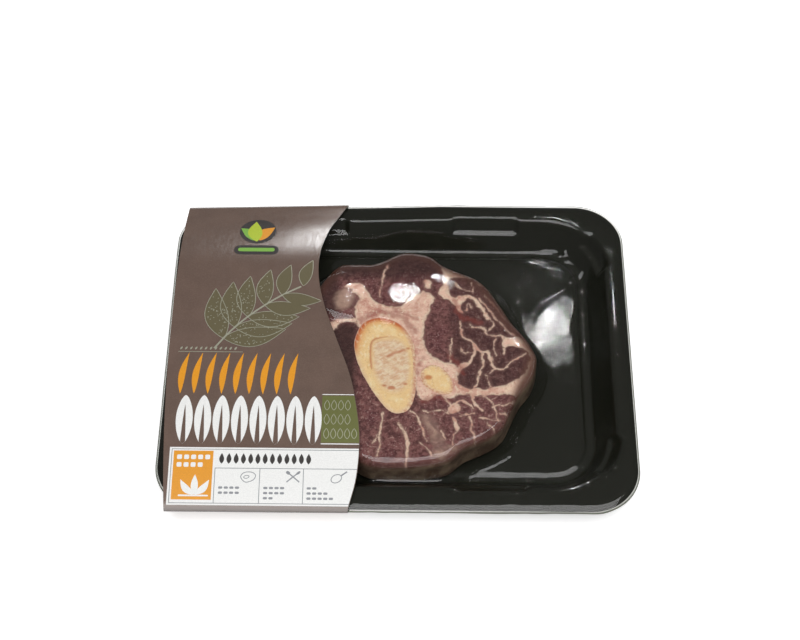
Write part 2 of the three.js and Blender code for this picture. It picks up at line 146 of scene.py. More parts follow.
# How far muscles swell between seams, the groove beside the bones, and the depth of the bones' sockets
MUSCLE_SWELL, BONE_GROOVE, SOCKET = 0.16, 0.16, 2.4
BONE_OUTLINE = [
    (-21.8, 1.5), (-17.5, 10.6), (-8.5, 13.6), (1.5, 8.8), (7.3, -2.5), (8.3, -17), (8, -32),
    (4.2, -40.6), (-3.4, -41.4), (-11, -32.5), (-18.4, -18.5), (-21.8, -7),
]
MARROW_OUTLINE = [
    (-13.4, -2.6), (-8.4, 1.2), (0.4, 0.6), (5.4, -6.5), (6, -20.5), (2, -29.6), (-6, -29.6), (-12.2, -20),
]
SMALL_BONE_OUTLINE = [
    (10.6, -18.4), (15.9, -14), (21.4, -16.2), (25.8, -22.6), (25.6, -30), (19.2, -30.6), (12.2, -26),
]

# Fields of fat on the cut face, as closed outlines
FAT_FIELDS = [
    [(-21.5, 11), (-22.5, 17), (-20, 24), (-24, 29.5), (-28, 31.2), (-24, 33.6), (-18, 32.3), (-15.5, 27),
     (-12, 23), (-8, 21), (-2, 20), (3, 22), (6, 26.5), (11, 29.4), (15, 28.2), (18, 25.4), (15.4, 20),
     (13.4, 14), (12.4, 8), (11.8, 2), (13.4, -4), (16.6, -9.6), (22, -12.4), (26.6, -13.6), (29.4, -16.6),
     (28.4, -21), (29.2, -25), (33, -27.2), (37, -27.8), (45, -27), (54, -24.6), (59.4, -20), (63, -13.6),
     (63.6, -8.6), (60.4, -4.4), (55, -3.2), (51.4, -3.4), (50.8, 0.4), (53, 2.4), (59, 2.2), (63.6, -1),
     (67, -6), (67.4, -12), (65, -21), (61.6, -28), (58, -29.6), (52, -30.6), (44, -30.8), (38, -31.6),
     (33, -31), (28.6, -30.6), (26.4, -33.4), (22.6, -32), (18.6, -31.6), (14, -34.4), (9.4, -33.4),
     (8, -25), (4, -10), (-6, -4), (-18, 4)],
    [(19.4, 28.6), (21.6, 34), (22.4, 39), (21, 44), (25, 45.4), (31, 41.4), (37, 39.6), (42.6, 35),
     (40, 34.4), (36, 38), (30.4, 39), (26, 38.2), (24.2, 34.6), (24.2, 29), (26.6, 26.4), (31, 27.4),
     (36.4, 27), (39.6, 24.2), (42, 19.6), (44.6, 14.2), (43, 13.4), (40.2, 18.6), (37.6, 22.6),
     (35.6, 25.2), (32.4, 24.8), (30.8, 21), (31.6, 16.6), (29.6, 18), (27.2, 20.6), (24.6, 23.8),
     (21.6, 25.4)],
    [(-36.5, 6.4), (-36, 9.6), (-30, 12.6), (-22, 13), (-21.8, 10.8), (-28.6, 10.6), (-33, 5.4)],
    [(24.4, -36.4), (28.4, -36.8), (29.8, -39.6), (26.4, -41.6), (23.8, -39.6)],
    [(12.8, 35.6), (15.8, 35.2), (15.2, 31), (12.6, 31.8)],
]
# Seams of fat and of sinews: width in mm at both ends, then the points they run through
FAT_SEAMS = [
    (0.9, 1.5, [(30.4, 12), (30.8, 6), (32.4, 1), (35.4, -0.6), (37.2, -3.6), (40, -5.6)]),
    (1.4, 2.0, [(37.2, -3.6), (36.2, -9), (33, -13), (29, -16.4)]),
    (1.5, 0.8, [(40, -5.6), (43.6, -6.8), (45.2, -11.6), (46.2, -16), (50, -17), (54, -13.2), (58, -9.6),
                (61.6, -7)]),
    (1.2, 0.9, [(41.2, -7), (40.8, -14), (38.8, -21.6), (36.8, -27)]),
    (0.8, 0.5, [(46.2, -16), (44.4, -19.4)]),
    (0.6, 0.7, [(42.4, -20), (43.8, -23.4), (44.4, -27)]),
    (1.0, 0.8, [(34.6, 9.6), (37.4, 8), (42, 7.6), (43.4, 3.8), (46.6, 2.4), (50, 3), (52, -1),
                (50.6, -7.6)]),
    (0.6, 0.5, [(30.4, -3.6), (31, -7), (34.4, -7.6), (36.4, -6.4)]),
    (0.5, 0.4, [(47.4, 1.8), (46.2, -3.8), (47, -8)]),
    (0.4, 0.5, [(25.8, 0.8), (25, -6), (25.2, -12.6)]),
    (1.2, 0.9, [(25.8, -40), (27, -36), (29.6, -34.6), (33.4, -36.2), (36.4, -38.8)]),
    (1.6, 0.9, [(35, -31), (36.6, -35.4), (40.8, -39.6)]),
    (0.8, 0.6, [(41.2, -31), (44.6, -34.6), (46, -38.2), (47.8, -44.6)]),
    (1.0, 0.8, [(45.4, -38), (51.4, -36.2), (55, -35), (58.6, -32.4)]),
    (1.0, 0.7, [(48.4, -41), (52.4, -42.4), (56, -44.2)]),
    (0.6, 0.5, [(38.6, -43.8), (44, -44.6), (48.4, -45.2)]),
    (1.0, 0.7, [(42.6, -46.8), (44.6, -49.2), (47, -52.6)]),
    (0.9, 0.6, [(53, -49.4), (50, -51), (46.4, -53.8)]),
    (1.0, 0.7, [(26.6, -44), (28, -48.6), (26.8, -54), (26, -58.6)]),
    (1.8, 1.8, [(27.2, -47), (27.6, -50)]),
    (1.2, 0.8, [(34.2, -43.8), (35, -50), (36, -57.4)]),
    (0.6, 0.5, [(30, -42.4), (36.6, -41.2)]),
    (1.8, 0.8, [(21.6, -31.8), (24.4, -36), (24, -41.6)]),
    (1.0, 0.8, [(-7.6, -41), (-7.4, -46), (-9.2, -53), (-8.6, -59.6), (-10.4, -65)]),
    (0.5, 0.4, [(-9.2, -53), (-12.4, -58)]),
    (0.7, 1.6, [(0, -46.4), (2.4, -52), (3.8, -56.6)]),
    (1.6, 0.6, [(3.8, -56.6), (4.2, -62), (3.2, -71)]),
    (1.1, 0.6, [(5.4, -41), (8.8, -43.6), (11.4, -50.6), (13.4, -57)]),
    (0.5, 0.7, [(11, -58.6), (14, -62), (15.6, -65.4)]),
    (1.0, 0.6, [(21, -51.6), (22.2, -56.4)]),
    (0.7, 0.9, [(39.6, 26), (44, 20), (48.2, 13.4), (52, 8), (57, 3.6)]),
    (0.8, 0.7, [(42.4, 27.4), (48, 20.6), (53, 12.6), (57.6, 6.6)]),
    (0.5, 0.9, [(44, 31.4), (49.4, 23), (55.6, 12.4), (61, 4.6)]),
    (0.6, 0.4, [(28, 36), (29.4, 33), (32.6, 31.4), (36.6, 30.4)]),
    (0.5, 0.4, [(36.2, 35.4), (36.8, 32.6), (36.2, 29.8)]),
    (0.5, 0.5, [(45, 14), (46.4, 9.6), (44.4, 6.4)]),
    (0.6, 0.8, [(-9.6, 26), (-9.2, 33), (-8, 39.6), (-6.6, 46)]),
    (0.5, 0.4, [(33, 18), (34.4, 22.6), (36, 19.8)]),
    (0.8, 0.5, [(16, -9.6), (20, -11.8), (23.4, -14.8)]),
    (0.7, 0.5, [(24.4, -42), (20.4, -40.6), (15.4, -41.6), (11.4, -40.4)]),
]
# Fields that only pale the muscle: the first a translucent sheet of sinews on the front shoulder with the
# film's grey sheen painted into it, the second and third painted glare of the film, in the middle and on the
# left dome
SINEW_AND_SHEEN_FIELDS = [
    [(9.6, -41.4), (16, -42), (20, -47), (22, -54), (24, -58.4), (31, -58.6), (39, -56.4), (46, -53.4),
     (53, -48), (52.4, -52.6), (45, -57.4), (36, -61), (27, -64.2), (19, -67.4), (15.2, -63.6), (14, -54),
     (10.6, -46)],
    [(9.4, 13), (12.4, 13.4), (12.8, 4), (10.8, 2.4)],
    [(-34, 24), (-29, 31), (-24, 31), (-21, 25), (-24, 19), (-31, 17)],
]
# Red strokes where blood stands under the film: width, points
BLOOD_STROKES = [
    (2.2, [(-19.4, 11.6), (-14, 15.4), (-8, 16.6), (-1.6, 15.2), (3.6, 11), (7.6, 5.4)]),
    (1.6, [(-2, 18.6), (3.6, 15.4), (9, 13.4)]),
    (1.6, [(27.4, 25), (28.4, 19), (31.4, 13.6), (36, 12.4), (40, 10.6)]),
    (1.2, [(11, -35), (17, -33), (24, -34)]),
    (1.4, [(8.6, -17), (9.4, -20)]),
    (1.0, [(11.8, -10.4), (10, -14.6)]),
    (1.0, [(24.8, -9), (28.4, -13), (31, -20)]),
]

# Places where the taut film stands off the meat as a tilted patch: x, y, lift, slopes along x and y,
# and half sizes along x and y
FILM_PATCHES = [
    (1.6, 27.4, 1.15, -0.091, 0.007, 10.5, 9.5), (-4.6, 18.6, 1.35, -0.099, -0.001, 6.0, 6.0),
    (-24.0, 25.6, 1.1, -0.141, 0.026, 10.5, 9.5), (-31.4, 29.4, 0.8, -0.133, 0.010, 3.4, 3.4),
]
# How much each such patch is dished, as the growth of its slope per mm
PATCH_DISH = 0.0005
# How far a patch has fallen at its half size, and how much the film's free edge waves for each mm it
# stands out
PATCH_FALL, EDGE_WAVE = 0.12, 0.2
# Height that no such patch passes
FILM_HIGHEST = 23.95
# Folds of the film, each a ridge along a line: height, half width, points
FILM_FOLDS = [
    (0.9, 1.3, [(96.5, 61), (93.5, 56), (89.5, 51.5), (86.5, 48.8)]),
    (0.5, 1.2, [(88, 51.4), (85.4, 50.4)]),
    (0.6, 1.1, [(68, 65), (76, 65), (81, 62.2), (83.6, 61), (86.4, 63.4), (92, 62.4)]),
    (0.6, 1.0, [(74, 69.6), (80, 67.4), (83.2, 66.2), (84.8, 69.4)]),
    (0.5, 1.0, [(84.8, 69.2), (85.6, 66), (83.8, 61.6)]),
    (0.5, 1.1, [(106.4, 50), (105.4, 58), (103, 65.6), (100, 69)]),
    (0.25, 0.9, [(112, 69), (110, 60), (108, 51)]),
    (0.6, 1.0, [(95, 72), (96.8, 69), (101, 66)]),
    (0.6, 1.0, [(95, 72.6), (100, 71.6), (103.4, 67.6)]),
    (0.5, 1.0, [(90.4, 50), (92.2, 45.4), (91.4, 40), (92, 34)]),
    (0.6, 1.1, [(97, -72), (101, -64), (103, -56)]),
    (0.5, 1.0, [(91, -66), (94, -68.6), (97.4, -70.6)]),
    (0.5, 1.0, [(88.6, -62.6), (92, -65.4), (95.4, -67.6)]),
    (0.4, 1.0, [(70, -64.6), (73, -67), (76, -70.6)]),
    (0.4, 1.0, [(100, -67), (103.6, -69.6), (106.4, -70)]),
    (0.25, 1.0, [(52, -88.6), (51.2, -84), (51.6, -80.4)]),
    (0.25, 1.0, [(-21, -91), (-20, -86), (-21.4, -81)]),
]
# The radius at the tip of the parabola that closes the film's seat, how much it gains towards each corner
# of the tray, over how many degrees, and how many steps the closing reaches
FILM_SPAN, FILM_CORNER_TURN, CLOSING_STEPS = 1.9, 11, 60
FILM_CORNER_SPANS = [(88, 60, 4.2), (88, -60, 1.2), (-88, 60, 4.2), (-88, -60, 1.2)]
# The gap between the film and its seat, the least that a patch or fold leaves of it, and how softly a
# patch meets the rest
FILM_GAP, FILM_LEAST_GAP, PATCH_ROUND = 0.24, 0.1, 0.25
# The middles that the corner pleats fan out from, their turn from the x axis and its spread, and how far
# out they lie
PLEAT_X, PLEAT_Y, PLEAT_TURN, PLEAT_SPREAD, PLEAT_FROM, PLEAT_TO = 70.0, 46.0, 42, 26, 14, 33
# Heights of the film's waves, of the wrinkles at the front wall's foot, of the corner pleats and of the
# pulls round the steak, then the sizes of the first two and how many of the others go to a radian
WAVE, FOOT_WRINKLE, PLEAT, PULL = 0.01, 0.05, 0.07, 0.05
WAVE_SIZE, FOOT_WRINKLE_SIZE, PLEATS, PULLS = 9.0, 4.5, 11, 31
# The edge of the tent that the film makes from the steak to the back right corner
FILM_TENT = [(64, 15.5), (65.2, 21.5), (67.8, 28.4), (72.8, 35.6), (81.8, 42), (91, 47.8)]
TENT_RISE, TENT_FRONT, TENT_BACK = 0.26, 1.3, 9.0
# The shares of its line where it starts and ends, and how softly
TENT_ENDS = (0.02, 0.98, 0.3)
# Where the film lifts off the floor towards the front right corner: the middle and the half width of the
# place along x, from which y to which it sets in, how far inside the panel's edge it starts and how far
# past it it goes on, and how fast its slope grows
LIFT_X, LIFT_HALF, LIFT_FROM, LIFT_TO, LIFT_INSIDE, LIFT_PAST, LIFT_BEND = 80, 13, -30, -45, 8.5, 1.5, 0.009

# Card band
CARD = 0.45
BAND_FRONT, BAND_BACK = -93.9, 90.1
BAND_FOLD = RIM + 1.1
BAND_FOLD_DROP = 1.1
BAND_RISE, BAND_FULLNESS = 7.0, 2.4
BAND_BASE_FRONT, BAND_BASE_BACK = -76.0, 78.0
BAND_LEFT, BAND_LEFT_MIDDLE = -112, 3
BAND_LEFT_BOW_BACK, BAND_LEFT_BOW_FRONT = 0.00022, 0.0004
# The section's points over the arch and their spacing elsewhere, and the columns along x
BAND_ARCH_POINTS, BAND_STEP, BAND_COLUMNS = 121, 1.6, 44
BAND_CUT = [
    (-93, -23), (-78, -19.4), (-60, -18.1), (-46, -19.1), (-24, -23.2), (0, -31.2),
    (20, -37.6), (38, -40.8), (54, -40.3), (70, -36.2), (80, -31.6), (91, -26.5),
]
INK = 0.02
# The objects that the print is made in, each of one ink
PRINT_PIECES = (
    "print_white", "print_orange", "print_grey", "print_black", "print_tile_white", "foil_olive",
    "foil_leaves", "foil_edge", "badge_dark", "badge_lime", "badge_green", "badge_orange",
)
# Levels of ink above the card, each over the one before, and rows' spacing in large and small shapes
FIELD, LINE, FIGURE, TILE_BAR, TOP_FIGURE = 0.012, 0.024, 0.036, 0.044, 0.046
STEP, SMALL_STEP = 0.7, 0.3
# How far print stays from the die-cut edge
PRINT_MARGIN = 0.25
# Plain fields and lines: ink, left, right or None for the cut edge, front, back, level, rows and columns
PRINT_FIELDS = [
    ("print_white", -107.2, None, -91.4, -62.6, FIELD, 40, 30),
    ("print_white", -36.4, None, -60.5, -60.0, FIELD, 3, 12),
    ("print_white", -36.4, None, -34.0, -33.6, FIELD, 3, 12),
    ("print_orange", -105.2, -86.6, -88.8, -64.4, LINE, 20, 8),
    ("print_grey", -106.3, None, -63.75, -63.4, LINE, 3, 24),
    ("print_grey", -106.3, None, -90.6, -90.25, LINE, 3, 24),
    ("print_grey", -106.3, -105.95, -90.6, -63.4, LINE, 20, 2),
    ("print_grey", -85.6, None, -73.3, -72.95, LINE, 3, 20),
    ("print_grey", -85.6, -85.25, -90.25, -73.1, LINE, 12, 2),
    ("print_grey", -64.6, -64.25, -90.25, -73.1, LINE, 12, 2),
    ("print_grey", -44.2, -43.85, -90.25, -73.1, LINE, 12, 2),
    ("foil_olive", -36.4, None, -59.6, -34.4, FIELD, 30, 14),
    ("foil_edge", -107.2, -76.0, -10.2, -9.9, FIELD, 3, 8),
]
# The row of split leaves: how many, the first one's middle, their pitch, and foot, width, height and slit
SPLIT_LEAVES, SPLIT_LEFT, SPLIT_PITCH, SPLIT_SHAPE = 8, -101.6, 8.75, (-60.8, 8.0, 26.0, 2.6)
# Rows of leaves: ink, how many, first x, pitch, y, then length, width, turn, bow and points, level, step
LEAF_ROWS = [
    ("print_orange", 9, -104.6, 6.6, -34.0, (23.6, 3.2, 83, 0.05, 24), FIELD, STEP),
    ("print_black", 13, -82.6, 3.4, -70.9, (5.4, 2.3, 90, 0, 16), LINE, SMALL_STEP),
    ("foil_edge", 12, -106.4, 2.4, -8.9, (2.1, 1.0, 60, 0, 10), FIELD, SMALL_STEP),
]
# Short marks on the label: each column's left edge and its rows' widths, the first row's y, and how far
# rows and marks lie apart, then a mark's width, height and corner
MARK_ROWS = [(-83.6, (10.5, 12.5)), (-62.6, (12.5, 10.5, 7.5)), (-42.4, (7.5, 12.5, 15.5))]
MARK_TOP, MARK_DROP, MARK_PITCH, MARK_SIZE = -82.8, 2.5, 2.6, (2.0, 1.15, 0.5)
# Small boxes on the orange tile: how many in each row, the first one's place, their pitch and their size
TILE_ROWS = (5, 4)
TILE_LEFT, TILE_TOP, TILE_PITCH, TILE_DROP, TILE_SIZE = -102.4, -67.6, 3.3, 3.9, (2.3, 2.3, 0.5)
# Outlined leaves on the olive field: rows and columns, the first one's place, their pitch, and one leaf
FOIL_ROWS, FOIL_COLUMNS, FOIL_LEAF = 3, 5, (5.2, 2.2, 90, 0, 10)
FOIL_LEFT, FOIL_TOP, FOIL_PITCH, FOIL_DROP = -34.0, -39.6, 3.3, 7.6
# Pictograms: outlines, ellipses as middle, radii and turn, and the lines that ribbons follow
ICON_STEAK = [(-73.4, -77.6), (-72, -75.2), (-68.4, -74.8), (-66.2, -76.4), (-67.2, -79), (-71, -80.2)]
ICON_BONE, ICON_PAN = (-70.6, -77.4, 1.4, 0.9, 10), (-28.6, -77.9, 2.8, 2.1, 30)
ICON_TOOLS = [
    [(-51.8, -79.8), (-48.8, -77.2), (-46.0, -74.8)], [(-45.8, -79.8), (-48.8, -77.2), (-51.6, -74.8)],
]
ICON_TOOL_HEADS = [(-51.2, -75.2, 1.1, 0.8, -40, 20), (-46.4, -75.2, 1.2, 0.6, 40, 20)]
ICON_PAN_HANDLE = [(-26.4, -76.4), (-24.8, -75.2), (-23.6, -74.4)]
# The embossed branch: its stem, how many pairs of leaves and where they start and end along it, the first
# leaf's length and how much the length falls to the stem's end, a leaf's width as a share of its length,
# its bow, and its turn to the left and to the right of the stem
SPRIG_STEM = [(-90, -8), (-82, 3), (-72, 13.5), (-59, 24), (-44, 33)]
SPRIG_PAIRS, SPRIG_FROM, SPRIG_TO = 6, 0.14, 0.95
SPRIG_LEAF, SPRIG_TAPER, SPRIG_WIDTH, SPRIG_BOW = 33, 17, 0.36, 0.06
SPRIG_LEFT_TURN, SPRIG_RIGHT_TURN = 46, -44
# The field that the hammered grains are strewn over, as two corners, and how many are
GRAIN_FIELD, GRAINS = ((-100, -26), (-34, 52)), 1500
# The collection of the pieces that the light from the back left reaches
LIT_BY_WINDOW = "lit_by_window"
# How brightly the paper under the pack is lit through, and how bright the studio's air is
PAPER_GLOW, AIR_GLOW = 0.53, 0.17
# The lights: name, place, the point it faces, width, height and share of the power, in mm
LIGHTS = [
    ("overhead", (100, -420, 1500), (0, 0, 0), 1700, 1300, 1),
    ("lamp_right", (160, 654, 903), (60, 10, 10), 18, 30, 0.0080),
    ("window_left", (-100, 1150, 680), (-40, 60, 20), 60, 190, 0.034),
]
# Half the floor's side and how far it lies below the pack
FLOOR_HALF, FLOOR_DROP = 3000, 0.05
# How far the band pulls the back rim down at its left end, from where to where
DROOP, DROOP_RIGHT, DROOP_LENGTH, DROOP_START = 5.6, 20.0, 132.0, 45.0
# The powers with which it grows along the rim and to the back
DROOP_ALONG, DROOP_BACK = 0.85, 1.6

# Camera: where it stands in front of the rim plane's middle, and how it is turned
CAMERA_PITCH, CAMERA_YAW, CAMERA_ROLL = 54.94, -0.16, -0.43
CAMERA_SIDE, CAMERA_UP, CAMERA_AWAY = -0.329, -12.932, 888.3
FOCAL_PIXELS, FRAME_PIXELS, SENSOR_MM = 1801.6, 800, 36


def linear(hex_colour, alpha=1.0):
    """A colour written as sRGB hex, turned to linear light."""
    value = hex_colour.lstrip("#")
    parts = [int(value[k:k + 2], 16) / 255 for k in (0, 2, 4)]
    return tuple(p / 12.92 if p <= 0.04045 else ((p + 0.055) / 1.055) ** 2.4 for p in parts) + (alpha,)


# Shapes as functions


def smooth_step(low, high, value):
    """0 below low, 1 above high, and the cubic 3t^2 - 2t^3 in between."""
    t = np.clip((value - low) / (high - low), 0, 1)
    return t * t * (3 - 2 * t)


def soft_min(a, b, reach):
    """The lower of a and b, with the crease between them rounded over reach by a parabola."""
    h = np.clip(0.5 + 0.5 * (b - a) / reach, 0, 1)
    return b + (a - b) * h - reach * h * (1 - h)


def soft_max(a, b, reach):
    """The higher of a and b, with the crease rounded over reach."""
    return -soft_min(-a, -b, reach)


def lattice_noise(x, y, size, seed):
    """Smooth random values from -1 to 1: random numbers on a square lattice of that size, joined by the
    cubic 3t^2 - 2t^3 along both directions."""
    table = np.random.default_rng(seed).uniform(-1, 1, (LATTICE, LATTICE))
    u, v = x / size, y / size
    i, j = np.floor(u).astype(int), np.floor(v).astype(int)
    s, t = u - i, v - j
    s, t = s * s * (3 - 2 * s), t * t * (3 - 2 * t)
    corner = lambda a, b: table[(i + a) % LATTICE, (j + b) % LATTICE]
    low = corner(0, 0) * (1 - s) + corner(1, 0) * s
    high = corner(0, 1) * (1 - s) + corner(1, 1) * s
    return low * (1 - t) + high * t


def closed_curve(points, divisions):
    """Catmull-Rom curve through closed points, sampled evenly in its parameter, anticlockwise."""
    p = np.array(points, float)
    t = np.arange(divisions) * len(p) / divisions
    k, s = np.floor(t).astype(int), (t % 1)[:, None]
    a, b, c, d = (p[(k + step) % len(p)] for step in (-1, 0, 1, 2))
    curve = 0.5 * (2 * b + (c - a) * s + (2 * a - 5 * b + 4 * c - d) * s**2
                   + (3 * b - a - 3 * c + d) * s**3)
    turned = np.roll(curve, -1, 0)
    area = np.sum(curve[:, 0] * turned[:, 1] - turned[:, 0] * curve[:, 1])
    return curve if area > 0 else curve[::-1]


def open_curve(points, divisions):
    """Catmull-Rom curve through open points, its ends carried on straight."""
    p = np.array(points, float)
    p = np.vstack([2 * p[0] - p[1], p, 2 * p[-1] - p[-2]])
    t = np.linspace(0, len(p) - 3 - 1e-6, divisions)
    k, s = np.floor(t).astype(int) + 1, (t % 1)[:, None]
    a, b, c, d = (p[k + step] for step in (-1, 0, 1, 2))
    return 0.5 * (2 * b + (c - a) * s + (2 * a - 5 * b + 4 * c - d) * s**2 + (3 * b - a - 3 * c + d) * s**3)


def rectangle_distance(x, y, outline):
    """Signed distance to a rectangle with round corners: the distance to the rectangle that its corner
    centres span, less the corner radius."""
    half_x, half_y, corner = outline
    dx, dy = np.abs(x) - (half_x - corner), np.abs(y) - (half_y - corner)
    return np.hypot(np.maximum(dx, 0), np.maximum(dy, 0)) + np.minimum(np.maximum(dx, dy), 0) - corner


def outline_distance(x, y, outline):
    """Signed distance to a closed outline, negative inside: the least distance to its edges, with the sign
    from how many edges a line to the right crosses."""
    nearest = np.full(x.shape, FAR_OFF)
    inside = np.zeros(x.shape, bool)
    for (ax, ay), (bx, by) in zip(outline, np.roll(outline, -1, 0)):
        share = np.clip(((x - ax) * (bx - ax) + (y - ay) * (by - ay))
                        / ((bx - ax) ** 2 + (by - ay) ** 2 + 1e-12), 0, 1)
        nearest = np.minimum(nearest, np.hypot(x - ax - share * (bx - ax), y - ay - share * (by - ay)))
        if ay != by:
            across = ax + (y - ay) * (bx - ax) / (by - ay)
            inside ^= ((ay > y) != (by > y)) & (x < across)
    return np.where(inside, -nearest, nearest)


def stroke_distance(x, y, points, start_width, end_width):
    """Distance to a curve through points, less half of a width that changes evenly from start to end."""
    curve = open_curve(points, 4 * len(points))
    widths = np.linspace(start_width, end_width, len(curve))
    nearest = np.full(x.shape, FAR_OFF)
    for (ax, ay), (bx, by), width in zip(curve[:-1], curve[1:], widths):
        share = np.clip(((x - ax) * (bx - ax) + (y - ay) * (by - ay))
                        / ((bx - ax) ** 2 + (by - ay) ** 2 + 1e-12), 0, 1)
        away = np.hypot(x - ax - share * (bx - ax), y - ay - share * (by - ay)) - width / 2
        nearest = np.minimum(nearest, away)
    return nearest


def plateau(value, low, high, blend):
    """1 between low and high, falling smoothly to 0 over blend at each end."""
    return (smooth_step(low - blend / 2, low + blend / 2, value)
            * (1 - smooth_step(high - blend / 2, high + blend / 2, value)))


def lug_bulge(x, y):
    """How far the denesting lugs push the wall out: a plateau in x on the long walls, and a plateau in
    the turn round each corner."""
    side = np.where(np.abs(y) > LONG_WALL, LUG_OUT * plateau(np.abs(x), LUG_FROM, LUG_TO, LUG_BLEND), 0)
    dx = np.abs(x) - (MOUTH_OUTLINE[0] - MOUTH_OUTLINE[2])
    dy = np.abs(y) - (MOUTH_OUTLINE[1] - MOUTH_OUTLINE[2])
    turn = np.degrees(np.arctan2(dy, dx))
    corner = CORNER_LUG_OUT * plateau(turn, CORNER_LUG_FROM, CORNER_LUG_TO, CORNER_LUG_BLEND)
    return side + np.where((dx > 0) & (dy > 0), corner, 0)


def tray_height(x, y):
    """Height of the tray's upper face. The wall falls evenly from the mouth's outline to the ledge's, by
    the share of the distances to both. A lug is the same wall moved outwards, cut off by its shelf. The
    floor panel stands above the ledge. Creases are rounded with soft minima and maxima."""
    to_mouth = rectangle_distance(x, y, MOUTH_OUTLINE)
    to_ledge = rectangle_distance(x, y, LEDGE_OUTLINE)
    run = np.maximum(to_ledge - to_mouth, 1e-6)
    wall = LEDGE + DEPTH * to_ledge / run
    moved = LEDGE + DEPTH * (to_ledge - lug_bulge(x, y)) / run
    lugged = soft_min(wall, soft_max(moved, np.full(x.shape, RIM - LUG_SHELF), SHELF_ROUND), LUG_ROUND)
    wall = np.where(lug_bulge(x, y) > 0.02, lugged, wall)
    high = soft_min(wall, np.full(x.shape, RIM), RIM_ROUND)
    lip = smooth_step(LIP_FROM, LIP_TO, rectangle_distance(x, y - FLANGE_SHIFT, FLANGE_OUTLINE))
    to_panel = smooth_step(-PANEL_SOFT, PANEL_SOFT, rectangle_distance(x, y, PANEL_OUTLINE))
    return soft_max(high - LIP_DROP * lip, LEDGE + (FLOOR - LEDGE) * (1 - to_panel), PANEL_ROUND)


def steak_top(x, y):
    """Height of the cut face: a level plus a sum of soft bell-shaped swellings."""
    height = np.full(np.shape(x), STEAK_TOP)
    for cx, cy, rise, reach in STEAK_RELIEF:
        height = height + rise * np.exp(-((x - cx) ** 2 + (y - cy) ** 2) / reach**2)
    return height


def shoulder_width(angle):
    """Width of the steak's rounded shoulder along a ray: a product of two sines about its mean, and the
    square of a cosine on top towards the back left."""
    wave = SHOULDER_WAVE * np.sin(8 * angle) * np.sin(5 * angle + 1)
    back = np.maximum(0, np.cos(angle - math.radians(SHOULDER_BACK_TURN))) ** 2
    return SHOULDER + wave + SHOULDER_BACK * back


def ray_points(angle, radius):
    """x and y at a distance along rays from the fan's middle."""
    return CENTRE[0] + radius * np.cos(angle), CENTRE[1] + radius * np.sin(angle)


def ray_reach(angle, distance):
    """How far each ray goes until a signed distance turns positive, by halving."""
    near, far = np.zeros(angle.shape), np.full(angle.shape, RAY_LENGTH)
    for _ in range(RAY_HALVINGS):
        middle = (near + far) / 2
        inside = distance(*ray_points(angle, middle)) < 0
        near, far = np.where(inside, middle, near), np.where(inside, far, middle)
    return near


def steak_edge(angle):
    """Distance of the steak's widest line along each ray."""
    curve = closed_curve(STEAK_OUTLINE, 240) - CENTRE
    turn = np.unwrap(np.arctan2(curve[:, 1], curve[:, 0]))
    order = np.argsort(turn % (2 * np.pi))
    turn, reach = (turn % (2 * np.pi))[order], np.hypot(*curve.T)[order]
    return np.interp(angle % (2 * np.pi), turn, reach, period=2 * np.pi)


def steak_height(angle, radius):
    """Height of the steak along rays: the cut face, which bends down over the shoulder along a quarter
    of an ellipse, and nothing past the widest line."""
    edge, shoulder = steak_edge(angle), shoulder_width(angle)
    x, y = ray_points(angle, radius)
    across = np.clip((radius - (edge - shoulder)) / shoulder, 0, 1)
    height = steak_top(x, y) - SHOULDER_FALL * (1 - np.sqrt(np.maximum(1 - across**2, 0)))
    return np.where(radius > edge, -100.0, height)


def band_top(y):
    """Height of the card band's inner face: a flat-topped arch between its two folds."""
    share = np.abs(y - (BAND_FRONT + BAND_BACK) / 2) / ((BAND_BACK - BAND_FRONT) / 2)
    return BAND_FOLD + BAND_RISE * (1 - np.minimum(share, 1) ** BAND_FULLNESS)


def band_cut(y):
    """x of the band's die-cut right edge: a smooth curve through its points."""
    rows = np.array(BAND_CUT)
    y = np.clip(y, rows[0, 0], rows[-1, 0])
    k = np.clip(np.searchsorted(rows[:, 0], y, "right") - 1, 0, len(rows) - 2)
    before, after = np.maximum(k - 1, 0), np.minimum(k + 2, len(rows) - 1)
    span = rows[k + 1, 0] - rows[k, 0]
    t = (y - rows[k, 0]) / span
    rise = lambda a, b: (rows[b, 1] - rows[a, 1]) / (rows[b, 0] - rows[a, 0]) * span
    return ((2 * t**3 - 3 * t**2 + 1) * rows[k, 1] + (t**3 - 2 * t**2 + t) * rise(before, k + 1)
            + (3 * t**2 - 2 * t**3) * rows[k + 1, 1] + (t**3 - t**2) * rise(k, after))


def band_left(y):
    """x of the band's left edge: a shallow parabola, flatter to the back."""
    bow = np.where(y > BAND_LEFT_MIDDLE, BAND_LEFT_BOW_BACK, BAND_LEFT_BOW_FRONT)
    return BAND_LEFT + bow * (y - BAND_LEFT_MIDDLE) ** 2


# Meshes


def pulled_down(points):
    """The tight band pulls the thin rim down behind it: the heights shrink by a share that grows to the
    back from DROOP_START, with a power, and to the left along the rim."""
    x, y, z = np.asarray(points, float).reshape(-1, 3).T
    along = np.clip((DROOP_RIGHT - x) / DROOP_LENGTH, 0, 1) ** DROOP_ALONG
    back = np.clip((y - DROOP_START) / (BAND_BACK - DROOP_START), 0, 1) ** DROOP_BACK
    return np.stack([x, y, z - DROOP * along * back * np.clip(z / RIM, 0, 1.2)], -1)


def to_frame(points):
    """Millimetres of the tray's frame as metres of the row's frame, with the rim pulled down."""
    return (pulled_down(points) + (0, SHIFT_Y, 0)) * MM


